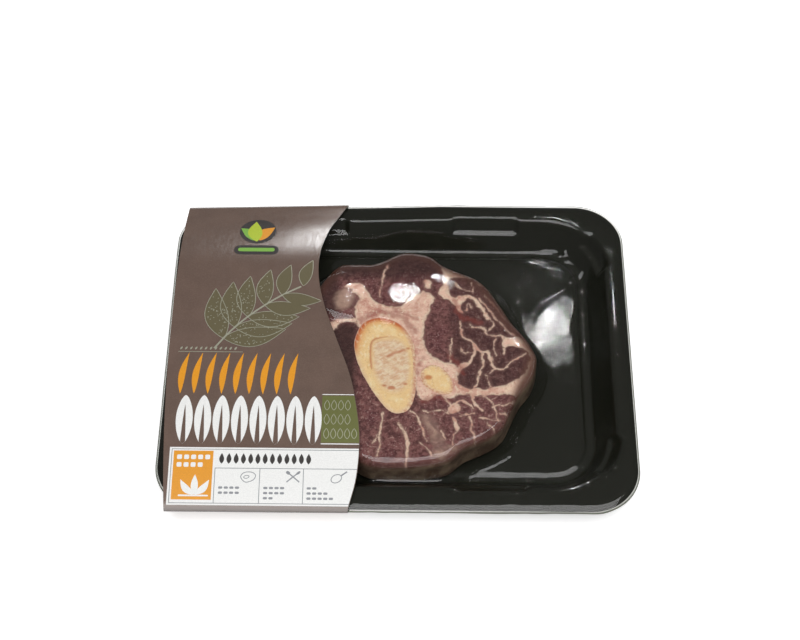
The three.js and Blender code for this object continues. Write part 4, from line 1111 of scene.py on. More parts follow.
def make_steak(settings):
    """The steak: rings of rays over the cut face, down the rounded shoulder, the side and the lower
    edge, and back under it. Muscles swell a little between the seams, and sockets hold the bones."""
    rays, face_rings = settings.steak_rays, settings.steak_rings
    angle = np.arange(rays) * 2 * np.pi / rays
    edge, shoulder = steak_edge(angle), shoulder_width(angle)
    face = (edge - shoulder)[:, None] * (np.arange(1, face_rings + 1) / face_rings) ** 0.93
    turn = np.linspace(0, 1, SHOULDER_RINGS + 1)[1:][None] * np.pi / 2
    bent = (edge - shoulder)[:, None] + shoulder[:, None] * np.sin(turn)
    radius = np.concatenate([face, bent], 1)
    x, y = ray_points(angle[:, None], radius)
    z = steak_height(angle[:, None], np.minimum(radius, edge[:, None] - 1e-6))
    crown_low = z[:, -1:]
    share = np.linspace(0, 1, SIDE_RINGS + 2)[1:-1][None]
    side_z = crown_low + (STEAK_BASE + FOOT_RISE - crown_low) * share
    side_r = edge[:, None] + 0 * side_z
    low_turn = np.linspace(0, 1, FOOT_RINGS)[None] * np.pi / 2
    low_r = edge[:, None] - FOOT_IN * (1 - np.cos(low_turn))
    low_z = STEAK_BASE + FOOT_RISE * (1 - np.sin(low_turn)) + 0 * low_r
    under_r = edge[:, None] * np.array([UNDER_RINGS])
    radius = np.concatenate([radius, side_r, low_r, under_r], 1)
    z = np.concatenate([z, side_z, low_z, STEAK_BASE + 0 * under_r], 1)
    x, y = ray_points(angle[:, None], radius)
    ring = np.arange(radius.shape[1])[None]
    on_face = ring < face_rings + RELIEF_RINGS
    wx, wy = warped(x, y)
    fat = fat_distance(wx, wy)
    bone = np.minimum(outline_distance(x, y, closed_curve(BONE_OUTLINE, 72)),
                      outline_distance(x, y, closed_curve(SMALL_BONE_OUTLINE, 44)))
    relief = MUSCLE_SWELL * smooth_step(0.0, 3.0, fat) + 0.07 * lattice_noise(x, y, 4.0, 21)
    relief -= BONE_GROOVE * np.exp(-(bone / 0.7) ** 2)
    socket = SOCKET * smooth_step(0.25, 1.3, -bone)
    z = np.where(on_face, z + relief - 0.12 - socket, z)
    side = ~on_face & (ring < radius.shape[1] - len(UNDER_RINGS) - 1)
    lump = 0.22 * lattice_noise(7 * angle[:, None] * edge[:, None] / 6, z, 4.0, 22)
    radius = radius + np.where(side, lump - 0.15, 0)
    obj = loft("shank_steak", polar_rings(angle, radius, z),
               (*CENTRE, float(steak_top(*CENTRE[:, None])[0]) - 2.5), (*CENTRE, STEAK_BASE))
    p = mesh_points(obj)
    wx, wy = warped(p[:, 0], p[:, 1])
    # Down the side the seams carry on into the meat, drawn towards the fan's middle with depth
    depth = np.maximum(steak_top(p[:, 0], p[:, 1]) - 3 - p[:, 2], 0)
    away = np.hypot(p[:, 0] - CENTRE[0], p[:, 1] - CENTRE[1])
    pull = 1 - 0.5 * depth / np.maximum(away, 1)
    wx, wy = CENTRE[0] + (wx - CENTRE[0]) * pull, CENTRE[1] + (wy - CENTRE[1]) * pull
    set_attribute(obj, "fat_edge", np.clip(fat_distance(wx, wy), -6, 6))
    # Fields of sinews and of painted film sheen and glare
    sinew_and_sheen = np.full(len(p), FAR_OFF)
    for field in SINEW_AND_SHEEN_FIELDS:
        sinew_and_sheen = np.minimum(sinew_and_sheen, outline_distance(wx, wy, closed_curve(field, 3 * len(field))))
    set_attribute(obj, "sinew_and_sheen_edge", np.clip(sinew_and_sheen, -6, 6))
    blood = np.full(len(p), FAR_OFF)
    for width, points in BLOOD_STROKES:
        blood = np.minimum(blood, stroke_distance(wx, wy, points, width, width))
    set_attribute(obj, "blood_edge", np.clip(blood, -3, 6))
    turn = np.arctan2(p[:, 1] - CENTRE[1], p[:, 0] - CENTRE[0])
    outer = steak_edge(turn) - np.hypot(p[:, 0] - CENTRE[0], p[:, 1] - CENTRE[1])
    # The rim's tone is weaker in front, except at the right end
    fade = 5 * smooth_step(10, -30, p[:, 1]) * smooth_step(62, 50, p[:, 0])
    set_attribute(obj, "outer_edge", outer + fade)
    set_attribute(obj, "depth", steak_top(p[:, 0], p[:, 1]) - p[:, 2])
    # Painted shade on the muscle: darker to the back, where the face slopes away from the light, on the left
    # beside the band and on the left dome, in the band's shadow, and darker at the right
    back = smooth_step(30, 44, p[:, 1]) * (1 - smooth_step(18, 26, p[:, 0]))
    left = (1 - smooth_step(-25, -17, p[:, 0])) * (1 - smooth_step(6, 14, p[:, 1]))
    right = smooth_step(21, 29, p[:, 0]) * smooth_step(-33, -26, p[:, 1])
    dome = 0.8 * smooth_step(-26, -33, p[:, 0]) * smooth_step(10, 16, p[:, 1])
    set_attribute(obj, "shade", np.max([0.9 * back, left, 0.6 * right, dome], 0))
    front = 1 - smooth_step(-36, -28, p[:, 1])
    set_attribute(obj, "marbling", np.maximum(front, smooth_step(27, 33, p[:, 0])))
    return obj


def shrunk(curve, distance):
    """A closed curve moved inwards by a distance, along the normals of its chords."""
    along = np.roll(curve, -1, 0) - np.roll(curve, 1, 0)
    along /= np.linalg.norm(along, axis=1, keepdims=True)
    return curve + distance * np.stack([-along[:, 1], along[:, 0]], -1)


def bone_rings(curve, middle, lift, count, seed, ease=1.0):
    """Rings from the middle of a bone's face out to its eased edge and down its side: each is the outline
    drawn in towards the middle, standing on the cut face, with a fine sawn roughness. Ease is how much
    the edge falls."""
    shares = np.linspace(0.06, 1, count)[:, None, None]
    flat = middle + (shrunk(curve, 0.8) - middle)[None] * shares
    level = steak_top(flat[..., 0], flat[..., 1]) + lift
    level = level + 0.05 * lattice_noise(flat[..., 0], flat[..., 1], 1.4, seed)
    rings = [np.concatenate([flat, level[..., None]], -1)]
    for inwards, drop in ((0.4, 0.12), (0.12, 0.4), (0.0, 0.9), (0.0, 6.0)):
        ring = shrunk(curve, inwards)
        z = steak_top(ring[:, 0], ring[:, 1]) + lift - drop * ease
        rings.append(np.concatenate([ring, z[:, None]], -1)[None])
    foot = np.concatenate([curve, np.full((len(curve), 1), STEAK_BASE)], -1)
    return np.concatenate(rings + [foot[None]])


def core_fade(x, y):
    """The red line round the marrow shows at its upper left alone: this grows away from there."""
    return 3 * smooth_step(-11, -3, x) * smooth_step(3, -1, y) + 3 * smooth_step(-15, -23, y) + 0.2


def make_leg_bone():
    """The leg bone: a ring with a wavy sawn face between its outline and the marrow's, and walls down to
    the tray, closed underneath."""
    outer = closed_curve(BONE_OUTLINE, 220)
    inner = closed_curve(MARROW_OUTLINE, 880)
    middle = inner.mean(0)
    turn = lambda c: np.arctan2(c[:, 1] - middle[1], c[:, 0] - middle[0]) % (2 * np.pi)
    order = np.argsort(turn(inner))
    reach = np.interp(turn(outer), turn(inner)[order], np.hypot(*(inner - middle).T)[order],
                      period=2 * np.pi)
    inner = middle + np.stack([np.cos(turn(outer)), np.sin(turn(outer))], -1) * reach[:, None]
    inner = shrunk(inner, -0.25)
    rim, lip = shrunk(outer, 0.5), shrunk(inner, -0.4)
    shares = np.linspace(0, 1, 26)[:, None, None]
    face = lip[None] * (1 - shares) + rim[None] * shares
    rough = 0.06 * lattice_noise(face[..., 0], face[..., 1], 1.5, 31)
    swell = 0.22 * np.sin(np.pi * shares[..., 0]) + rough
    top = np.concatenate([face, (steak_top(face[..., 0], face[..., 1]) + swell)[..., None]], -1)
    rings = []
    for ring, drop in ((inner, 6.0), (inner, 0.8), (shrunk(inner, -0.12), 0.25)):
        rings.append(np.c_[ring, steak_top(ring[:, 0], ring[:, 1]) - drop])
    rings += list(top)
    for ring, drop in ((shrunk(outer, 0.14), 0.2), (outer, 0.7), (outer, 6.0)):
        rings.append(np.c_[ring, steak_top(ring[:, 0], ring[:, 1]) - drop])
    rings.append(np.c_[outer, np.full(len(outer), STEAK_BASE)])
    rings.append(np.c_[inner, np.full(len(inner), STEAK_BASE)])
    rings = np.array(rings)
    rows, columns, _ = rings.shape
    k = np.arange(columns)
    after, last = (k + 1) % columns, (rows - 1) * columns
    closing = np.stack([last + k, k, after, last + after], -1)
    faces = np.concatenate([grid_faces(rows, columns), closing])
    obj = add_object("leg_bone_ring", rings.reshape(-1, 3), faces)
    p = mesh_points(obj)
    set_attribute(obj, "rim_distance", np.clip(-outline_distance(p[:, 0], p[:, 1], outer), 0, 12))
    set_attribute(obj, "warmth", smooth_step(-2, 9, p[:, 1] - 0.45 * p[:, 0]))
    right = outline_distance(*warped(p[:, 0], p[:, 1]), outer)
    set_attribute(obj, "gristle", 0.85 * smooth_step(-3.6, -0.4, right) * smooth_step(0, 4, p[:, 0]))
    core = outline_distance(p[:, 0], p[:, 1], closed_curve(MARROW_OUTLINE, 90))
    set_attribute(obj, "core_distance", np.clip(core + core_fade(*p[:, :2].T), 0, 8))
    return obj


def make_marrow():
    """The marrow core: the marrow's outline filled with a slightly sunken, lumpy face."""
    curve = shrunk(closed_curve(MARROW_OUTLINE, 160), -0.62)
    middle = curve.mean(0)
    rings = bone_rings(curve, middle, -0.02, 30, 41, 0.15)
    face = slice(0, 30)
    x, y = rings[face, :, 0], rings[face, :, 1]
    inner = np.clip(-outline_distance(x, y, curve), 0, 4) / 4
    rings[face, :, 2] += 0.16 * lattice_noise(x, y, 3.2, 42) * inner - 0.12 * inner
    top = (*middle, float(rings[0, :, 2].mean()))
    obj = loft("marrow", rings, top, (*middle, STEAK_BASE))
    p = mesh_points(obj)
    edge = -outline_distance(p[:, 0], p[:, 1], curve)
    set_attribute(obj, "rim_distance", np.clip(edge, 0, 12))
    vein = stroke_distance(p[:, 0], p[:, 1], [(-5.4, -9.4), (-1.6, -7.2), (2.4, -5.6)], 0.6, 0.2) + 0.5
    for cx, cy, size in ((-3.6, -27.6, 1.6), (-7.0, -26.4, 0.8), (3.2, -25.4, 0.8), (4.4, -4.8, 0.7)):
        vein = np.minimum(vein, np.hypot(p[:, 0] - cx, 1.6 * (p[:, 1] - cy)) - size + 0.7)
    set_attribute(obj, "core_distance", np.clip(np.minimum(edge + core_fade(*p[:, :2].T), vein), 0, 8))
    return obj


def make_small_bone():
    """The small bone beside it: its outline filled with a low crown."""
    curve = closed_curve(SMALL_BONE_OUTLINE, 120)
    middle = curve.mean(0)
    rings = bone_rings(curve, middle, 0.05, 20, 51)
    top = (*middle, float(rings[0, :, 2].mean()))
    obj = loft("small_bone_wedge", rings, top, (*middle, STEAK_BASE))
    p = mesh_points(obj)
    set_attribute(obj, "rim_distance", np.clip(-outline_distance(p[:, 0], p[:, 1], curve), 0, 12) + 2.4)
    set_attribute(obj, "warmth", 0 * p[:, 0])
    edge = outline_distance(*warped(p[:, 0], p[:, 1]), curve)
    set_attribute(obj, "gristle", 0.8 * smooth_step(-2.6, -0.3, edge + 0.8 * smooth_step(16, 10, p[:, 0])))
    spot = np.hypot((p[:, 0] - 14.2) * 0.8, (p[:, 1] + 21.6) * 1.2) - 0.6
    set_attribute(obj, "core_distance", np.clip(spot, 0, 8))
    return obj


def band_section(grow):
    """The band's section as a closed loop of y and z, grown outwards from its inner face: the arch, the
    slanting sides and the flat base, with the folds between them rounded by averaging neighbours twice."""
    ys = np.linspace(BAND_BACK, BAND_FRONT, BAND_ARCH_POINTS)
    arch = np.stack([ys, band_top(ys)], -1)
    loop = np.concatenate([arch, [(BAND_FRONT, BAND_FOLD - BAND_FOLD_DROP), (BAND_BASE_FRONT, 0.5),
                                  (BAND_BASE_BACK, 0.5), (BAND_BACK, BAND_FOLD - BAND_FOLD_DROP)]])
    dense = []
    for a, b in zip(loop, np.roll(loop, -1, 0)):
        count = max(1, int(np.hypot(*(b - a)) / BAND_STEP))
        dense += [a + (b - a) * k / count for k in range(count)]
    dense = np.array(dense)
    for _ in range(2):
        dense = 0.25 * np.roll(dense, 1, 0) + 0.5 * dense + 0.25 * np.roll(dense, -1, 0)
    along = np.roll(dense, -1, 0) - np.roll(dense, 1, 0)
    along /= np.linalg.norm(along, axis=1, keepdims=True)
    grown = dense + grow * np.stack([along[:, 1], -along[:, 0]], -1)
    grown[:, 1] = np.maximum(grown[:, 1], 0.0)
    return grown


def make_band():
    """The card band: its section carried along x from the left edge to the die-cut edge, with an outer
    printed face, an inner raw face and cut edges."""
    inner, outer = band_section(0.0), band_section(CARD)
    columns = BAND_COLUMNS
    share = np.linspace(0, 1, columns)
    left, right = band_left(inner[:, 0]), band_cut(inner[:, 0])
    x = left[:, None] + (right - left)[:, None] * share[None]

    def face(section):
        wave = 0.10 * lattice_noise(x, section[:, :1] + 0 * x, 38.0, 61)
        lift = np.where(section[:, 1:] > BAND_FOLD, wave, 0) * (1 - 0.6 * share[None])
        return np.stack([x, section[:, :1] + 0 * x, section[:, 1:] - np.abs(lift)], -1)

    rows = len(inner)
    points = np.concatenate([face(outer).reshape(-1, 3), face(inner).reshape(-1, 3)])
    k = np.arange(rows)
    after = (k + 1) % rows
    c = np.arange(columns - 1)
    grid = lambda base: np.stack(np.broadcast_arrays(
        base + k[:, None] * columns + c, base + after[:, None] * columns + c,
        base + after[:, None] * columns + c + 1, base + k[:, None] * columns + c + 1), -1).reshape(-1, 4)
    size = rows * columns
    left_edge = np.stack([k * columns, size + k * columns, size + after * columns, after * columns], -1)
    last = columns - 1
    right_edge = np.stack([k * columns + last, after * columns + last, size + after * columns + last,
                           size + k * columns + last], -1)
    faces = np.concatenate([grid(0), grid(size)[:, ::-1], left_edge, right_edge])
    slots = np.concatenate([np.zeros(len(grid(0)), int), np.ones(len(faces) - len(grid(0)), int)])
    obj = add_object("card_band", points, faces, slots=slots)
    obj.data.set_sharp_from_angle(angle=math.radians(50))
    # Painted shade along the band's front crease, which turns down and away from the light
    set_attribute(obj, "fold_shade", 0.9 * smooth_step(-91.8, -93.6, mesh_points(obj)[:, 1]))
    return obj


def card_height(y):
    """Height of the printed face on the band's top panel: the inner face moved up by the card along its
    normal, with the slope measured over half a millimetre to each side."""
    near = 0.5
    slope = np.gradient(band_top(np.stack([y - near, y, y + near])), near, axis=0)[1]
    return band_top(y) + CARD / np.sqrt(1 + slope**2)


def ink_rows(y, left, right, lift, columns=2):
    """A thin closed slab of ink on the card: rows at given y values, each from left to right."""
    rows = len(y)
    x = left[:, None] + (right - left)[:, None] * np.linspace(0, 1, columns)[None]
    y = y[:, None] + np.zeros_like(x)
    top = np.stack([x, y, card_height(y) + lift], -1).reshape(-1, 3)
    index = np.arange(rows * columns).reshape(rows, columns)
    quad = np.stack([index[:-1, :-1], index[:-1, 1:], index[1:, 1:], index[1:, :-1]], -1).reshape(-1, 4)
    border = np.concatenate([index[0, :-1], index[:-1, -1], index[-1, :0:-1], index[:0:-1, 0]])
    after = np.roll(border, -1)
    size = rows * columns
    sides = np.stack([border, border + size, after + size, after], -1)
    return np.concatenate([top, top - (0, 0, INK)]), [quad, quad[:, ::-1] + size, sides]


def ink_slab(left, right, low, high, lift, rows=40, columns=24):
    """A slab of ink between two y values, from x = left to x = right, each a number or a function of y."""
    y = np.linspace(low, high, rows)
    edges = [edge(y) if callable(edge) else np.full(rows, float(edge)) for edge in (left, right)]
    return ink_rows(y, *edges, lift, columns)


def ink_shape(outline, lift, step=STEP):
    """A slab of ink over an outline that each line along x crosses twice: its rows lie closer towards both
    ends, and run between the outline's leftmost and rightmost crossings."""
    low, high = outline[:, 1].min(), outline[:, 1].max()
    turn = np.linspace(0.03, np.pi - 0.03, max(9, int((high - low) / step)))
    y = (low + high) / 2 - (high - low) / 2 * np.cos(turn)
    start, end = outline, np.roll(outline, -1, 0)
    rise = np.where(end[:, 1] == start[:, 1], 1e-9, end[:, 1] - start[:, 1])
    share = (y[:, None] - start[:, 1]) / rise
    x = start[:, 0] + share * (end[:, 0] - start[:, 0])
    crossed = (share >= 0) & (share <= 1)
    return ink_rows(y, np.where(crossed, x, np.inf).min(1), np.where(crossed, x, -np.inf).max(1), lift)


def ink_patch(outline, lift):
    """A thin closed prism of ink over an outline on the card."""
    outline = np.asarray(outline, float)
    turned = np.roll(outline, -1, 0)
    if np.sum(outline[:, 0] * turned[:, 1] - turned[:, 0] * outline[:, 1]) < 0:
        outline = outline[::-1]
    z = card_height(outline[:, 1]) + lift
    top = np.c_[outline, z]
    n = len(outline)
    k = np.arange(n)
    after = (k + 1) % n
    sides = np.stack([k, k + n, after + n, after], -1)
    return np.concatenate([top, top - (0, 0, INK)]), [k[None], (k[::-1] + n)[None], sides]


def print_object(name, parts):
    """One object from many slabs and patches of ink."""
    points, faces, first = [], [], 0
    for places, groups in parts:
        for group in groups:
            faces += (group + first).tolist()
        points.append(places)
        first += len(places)
    return add_object(name, np.concatenate(points), faces, smooth=False)


def ellipse(cx, cy, rx, ry, turn=0.0, count=40):
    """Points of an ellipse, turned by degrees."""
    t = np.arange(count) * 2 * np.pi / count
    c, s = math.cos(math.radians(turn)), math.sin(math.radians(turn))
    x, y = rx * np.cos(t), ry * np.sin(t)
    return np.stack([cx + x * c - y * s, cy + x * s + y * c], -1)


def round_box(cx, cy, width, height, corner):
    """Points of a rectangle with round corners."""
    t = np.linspace(0, np.pi / 2, 7)
    parts = []
    for quarter, (sx, sy) in enumerate(((1, 1), (-1, 1), (-1, -1), (1, -1))):
        a = t + quarter * np.pi / 2
        parts.append(np.stack([cx + sx * (width / 2 - corner) + corner * np.cos(a),
                               cy + sy * (height / 2 - corner) + corner * np.sin(a)], -1))
    return np.concatenate(parts)


def leaf(x, y, length, width, turn, bow=0.0, count=14):
    """Points of a pointed leaf from its stalk: two arcs whose half width is a sine of the way along."""
    t = np.linspace(0, 1, count)
    half = 0.5 * width * np.sin(np.pi * t ** 0.85)
    middle = bow * length * np.sin(np.pi * t)
    along = np.concatenate([t, t[-2:0:-1]]) * length
    across = np.concatenate([middle + half, (middle - half)[-2:0:-1]])
    c, s = math.cos(math.radians(turn)), math.sin(math.radians(turn))
    return np.stack([x + along * c - across * s, y + along * s + across * c], -1)


def ribbon(points, width, count=24):
    """Points of a band of even width along a curve."""
    curve = open_curve(points, count)
    along = np.gradient(curve, axis=0)
    along /= np.linalg.norm(along, axis=1, keepdims=True)
    normal = np.stack([-along[:, 1], along[:, 0]], -1) * width / 2
    return np.concatenate([curve + normal, (curve - normal)[::-1]])


def ring_parts(outline, width, lift):
    """A thin raised line along a closed outline, in pieces that each stay convex."""
    inner = shrunk(outline, width)
    parts = []
    n = len(outline)
    step = max(1, n // 20)
    for k in range(0, n, step):
        index = [(k + j) % n for j in range(step + 1)] if k + step <= n else \
            [(k + j) % n for j in range(n - k + 1)]
        parts.append(ink_patch(np.concatenate([outline[index], inner[index][::-1]]), lift))
    return parts


def sprig_leaves():
    """The laurel branch on the band: leaves in pairs along a bowed stem, smaller towards its tip, and
    the stem itself."""
    stem = open_curve(SPRIG_STEM, 60)
    leaves = []
    for share in np.linspace(SPRIG_FROM, SPRIG_TO, SPRIG_PAIRS):
        k = int(share * 58)
        x, y = stem[k]
        dx, dy = stem[k + 1] - stem[max(k - 1, 0)]
        way = math.degrees(math.atan2(dy, dx))
        size = SPRIG_LEAF - SPRIG_TAPER * share
        for turn, bow in ((SPRIG_LEFT_TURN, SPRIG_BOW), (SPRIG_RIGHT_TURN, -SPRIG_BOW)):
            leaves.append(leaf(x, y, size, size * SPRIG_WIDTH, way + turn, bow, 24))
    return leaves, stem


def grain_shape(x, y, width, height, slit):
    """Points of an upright leaf whose half width is a sine to the power 0.6 of the way up, cut open from
    its foot by a slit that narrows to nothing: its left half, then its right half."""
    t = np.linspace(0, 1, 40)
    half = width / 2 * np.sin(np.pi * t) ** 0.6
    gap = np.minimum(slit / 2 * np.maximum(1 - t / 0.8, 0) ** 0.7, half)
    rise = y + height * t
    return [np.concatenate([np.stack([x + side * half, rise], -1),
                            np.stack([x + side * (gap - 0.02), rise], -1)[::-1]]) for side in (-1, 1)]


# Single shapes: ink, outline, its numbers, level and step
PRINT_SHAPES = [
    ("print_tile_white", leaf, (-94.6, -86.4, 10.0, 3.4, 90, 0, 20), FIGURE, STEP),
    ("print_tile_white", leaf, (-94.6, -86.4, 10.0, 3.4, 132, 0.1, 20), FIGURE, STEP),
    ("print_tile_white", leaf, (-94.6, -86.4, 10.0, 3.4, 48, -0.1, 20), FIGURE, STEP),
    ("print_tile_white", round_box, (-95.0, -86.8, 14.0, 0.8, 0.35), TILE_BAR, SMALL_STEP),
    ("badge_dark", ellipse, (-73.0, 68.4, 9.4, 9.4), FIELD, STEP),
    ("badge_dark", round_box, (-73.0, 54.2, 22.6, 6.6, 3.0), FIELD, STEP),
    ("badge_lime", leaf, (-73.2, 60.4, 15.8, 7.4, 94, 0.05, 28), FIGURE, STEP),
    ("badge_green", leaf, (-74.4, 61.2, 12.2, 6.2, 128, -0.12, 28), LINE, STEP),
    ("badge_green", round_box, (-73.0, 54.4, 18.6, 2.6, 1.2), LINE, STEP),
    ("badge_orange", leaf, (-71.8, 61.2, 12.6, 6.4, 54, 0.12, 28), LINE, STEP),
]


def add_pictograms(lines):
    """The three small pictograms: a steak with its bone, crossed tools and a pan with its handle."""
    lines += ring_parts(closed_curve(ICON_STEAK, 60), 0.4, LINE)
    lines += ring_parts(ellipse(*ICON_BONE), 0.35, LINE)
    lines += [ink_patch(ribbon(points, 0.6, 8), LINE) for points in ICON_TOOLS]
    lines += [ink_shape(ellipse(*head), LINE, SMALL_STEP) for head in ICON_TOOL_HEADS]
    lines += ring_parts(ellipse(*ICON_PAN), 0.4, LINE)
    lines.append(ink_patch(ribbon(ICON_PAN_HANDLE, 0.7, 8), LINE))


def make_print():
    """The print on the band, in objects of one ink each: plain fields, rows of leaf shapes, a leaf
    badge, small pictograms and an embossed branch."""
    cut = lambda y: band_cut(y) - PRINT_MARGIN
    pieces = {name: [] for name in PRINT_PIECES}
    for name, left, right, low, high, level, rows, columns in PRINT_FIELDS:
        pieces[name].append(ink_slab(left, cut if right is None else right, low, high, level, rows, columns))
    for k in range(SPLIT_LEAVES):
        halves = grain_shape(SPLIT_LEFT + SPLIT_PITCH * k, *SPLIT_SHAPE)
        pieces["print_white"] += [ink_shape(half, FIELD) for half in halves]
    for name, count, left, pitch, y, shape, level, step in LEAF_ROWS:
        pieces[name] += [ink_shape(leaf(left + pitch * k, y, *shape), level, step) for k in range(count)]
    for name, outline, shape, level, step in PRINT_SHAPES:
        pieces[name].append(ink_shape(outline(*shape), level, step))
    for left, widths in MARK_ROWS:
        for row, width in enumerate(widths):
            for k in range(int(width / MARK_PITCH)):
                mark = round_box(left + 1.1 + MARK_PITCH * k, MARK_TOP - MARK_DROP * row, *MARK_SIZE)
                pieces["print_grey"].append(ink_shape(mark, LINE, SMALL_STEP))
    add_pictograms(pieces["print_grey"])
    for row, count in enumerate(TILE_ROWS):
        for k in range(count):
            box = round_box(TILE_LEFT + TILE_PITCH * k, TILE_TOP - TILE_DROP * row, *TILE_SIZE)
            pieces["print_tile_white"].append(ink_shape(box, FIGURE, SMALL_STEP))
    for row in range(FOIL_ROWS):
        for k in range(FOIL_COLUMNS):
            x, y = FOIL_LEFT + FOIL_PITCH * k, FOIL_TOP - FOIL_DROP * row
            if x < float(band_cut(np.array([y]))[0]) - 2.5:
                pieces["foil_edge"] += ring_parts(leaf(x, y - 2.6, *FOIL_LEAF), 0.28, LINE)
    leaves, stem = sprig_leaves()
    keep = [one for one in leaves if np.all(one[:, 0] < band_cut(one[:, 1]) - 1.0)]
    # Leaves that overlap lie a hair above one another
    pieces["foil_leaves"] = [ink_shape(one, FIELD + 0.004 * k) for k, one in enumerate(keep)]
    pieces["foil_edge"] += [part for one in keep for part in ring_parts(one, 0.32, FIGURE)]
    for start, end in zip(range(0, 54, 6), range(7, 61, 6)):
        pieces["foil_edge"].append(ink_patch(ribbon(stem[start:end:2], 0.9, 4), TOP_FIGURE))
    # Hammered grains inside the leaves
    dots = np.random.default_rng(7).uniform(*GRAIN_FIELD, (GRAINS, 2))
    for one in keep:
        inside = dots[outline_distance(dots[:, 0], dots[:, 1], one) < -0.9]
        pieces["foil_edge"] += [ink_patch(ellipse(x, y, 0.34, 0.24, 0, 5), FIGURE) for x, y in inside]
    return {name: print_object(name, parts) for name, parts in pieces.items()}


# Properties, operators and panel


def colour_property(name, hex_colour, description):
    """A colour that the user can change, with its default in linear light."""
    return FloatVectorProperty(name=name, description=description, subtype="COLOR", size=4, min=0, max=1,
                               default=linear(hex_colour))


class SkinPackSizes(bpy.types.PropertyGroup):
    """How finely the pieces are made, and the film's thickness."""
    tray_rays: IntProperty(name="Tray rays", description="Points round each ring of the tray",
                           default=840, min=120, max=1200)
    tray_rings: IntProperty(name="Tray rings", description="Rings over the tray's upper face",
                            default=54, min=20, max=90)
    film_rays: IntProperty(name="Film rays", description="Points round each ring of the film",
                           default=640, min=120, max=900)
    film_rings: IntProperty(name="Film rings", description="Rings over the film's upper face",
                            default=76, min=30, max=140)
    steak_rays: IntProperty(name="Steak rays", description="Points round each ring of the steak",
                            default=720, min=120, max=900)
    steak_rings: IntProperty(name="Steak rings", description="Rings over the steak's cut face",
                             default=104, min=30, max=140)
    film_gauge: FloatProperty(name="Film gauge", description="Thickness of the clear film", default=0.00012,
                              min=0.00005, max=0.0005, precision=5, unit="LENGTH")
    lamp_power: FloatProperty(name="Light power", unit="POWER", default=25.8, min=0, max=100,
                              description="Power of the overhead light, which the others follow")


class SkinPackColours(bpy.types.PropertyGroup):
    """The colours of meat, plastic, card and inks."""
    tray: colour_property("Tray", "#1b1c16", "Black polypropylene")
    muscle_dark: colour_property("Dark muscle", "#593637", "Muscle in its darker parts")
    muscle_light: colour_property("Light muscle", "#845756", "Muscle in its lighter parts")
    fat_deep: colour_property("Fat field", "#e8c2b2", "Fat where it is broad")
    fat_thin: colour_property("Fat seam", "#dcc0af", "Fat in thin seams and at edges")
    bone_body: colour_property("Bone", "#ecca98", "Bone away from its rim")
    bone_rim: colour_property("Bone rim", "#e0a265", "Bone near its rim")
    marrow_pale: colour_property("Pale marrow", "#ead4b8", "Marrow in its paler parts")
    marrow_warm: colour_property("Warm marrow", "#dcb395", "Marrow in its warmer parts")
    card: colour_property("Card", "#6c584e", "Brown ink of the card band")
    board: colour_property("Board", "#8c8a84", "Raw inside and cut edges of the card")
    white_ink: colour_property("White ink", "#f2f2f0", "White fields of the print")
    orange_ink: colour_property("Orange ink", "#e79a1c", "Orange fields of the print")
    grey_ink: colour_property("Grey ink", "#8f9296", "Thin lines of the print")
    black_ink: colour_property("Black ink", "#2c2624", "Dark shapes of the print")
    olive_foil: colour_property("Olive foil", "#6f7240", "Foil fields of the print")
    leaf_foil: colour_property("Leaf foil", "#70684e", "Glossy leaves of the embossed branch")
    foil_edge: colour_property("Foil edge", "#c9c9b4", "Raised bright edges of the foil")
    lime: colour_property("Lime ink", "#b5c92c", "Light leaf of the badge")
    green: colour_property("Green ink", "#7cb342", "Green leaf of the badge")


def dress(obj, node, slot, *materials):
    """Gives a piece its materials and its body, and lets it stand for its CAD node. The slot is not used."""
    for material in materials:
        obj.data.materials.append(material)
    if node:
        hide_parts(node)
    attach(obj, "root")
    return obj


class SKINPACK_OT_tray(bpy.types.Operator):
    """Makes the black thermoformed tray"""
    bl_idname = "skinpack.tray"
    bl_label = "Tray"

    def execute(self, context):
        scene = context.scene
        dress(make_tray(scene.skinpack_sizes), "tray", "tray_plastic",
              polypropylene_material(tuple(scene.skinpack_colours.tray)))
        return {"FINISHED"}


class SKINPACK_OT_meat(bpy.types.Operator):
    """Makes the steak with its seams of fat, its bones and its marrow"""
    bl_idname = "skinpack.meat"
    bl_label = "Steak and bones"

    def execute(self, context):
        sizes, colours = context.scene.skinpack_sizes, context.scene.skinpack_colours
        dress(make_steak(sizes), "steak", "meat", beef_material(colours))
        bone = bone_material(colours)
        dress(make_leg_bone(), "leg_bone", "bone", bone)
        dress(make_small_bone(), "small_bone", "bone", bone)
        dress(make_marrow(), "marrow_core", "marrow", marrow_material(colours))
        return {"FINISHED"}


class SKINPACK_OT_film(bpy.types.Operator):
    """Makes the clear skin film over steak and tray"""
    bl_idname = "skinpack.film"
    bl_label = "Film"

    def execute(self, context):
        dress(make_film(context.scene.skinpack_sizes), "film", "clear_film", film_material())
        return {"FINISHED"}


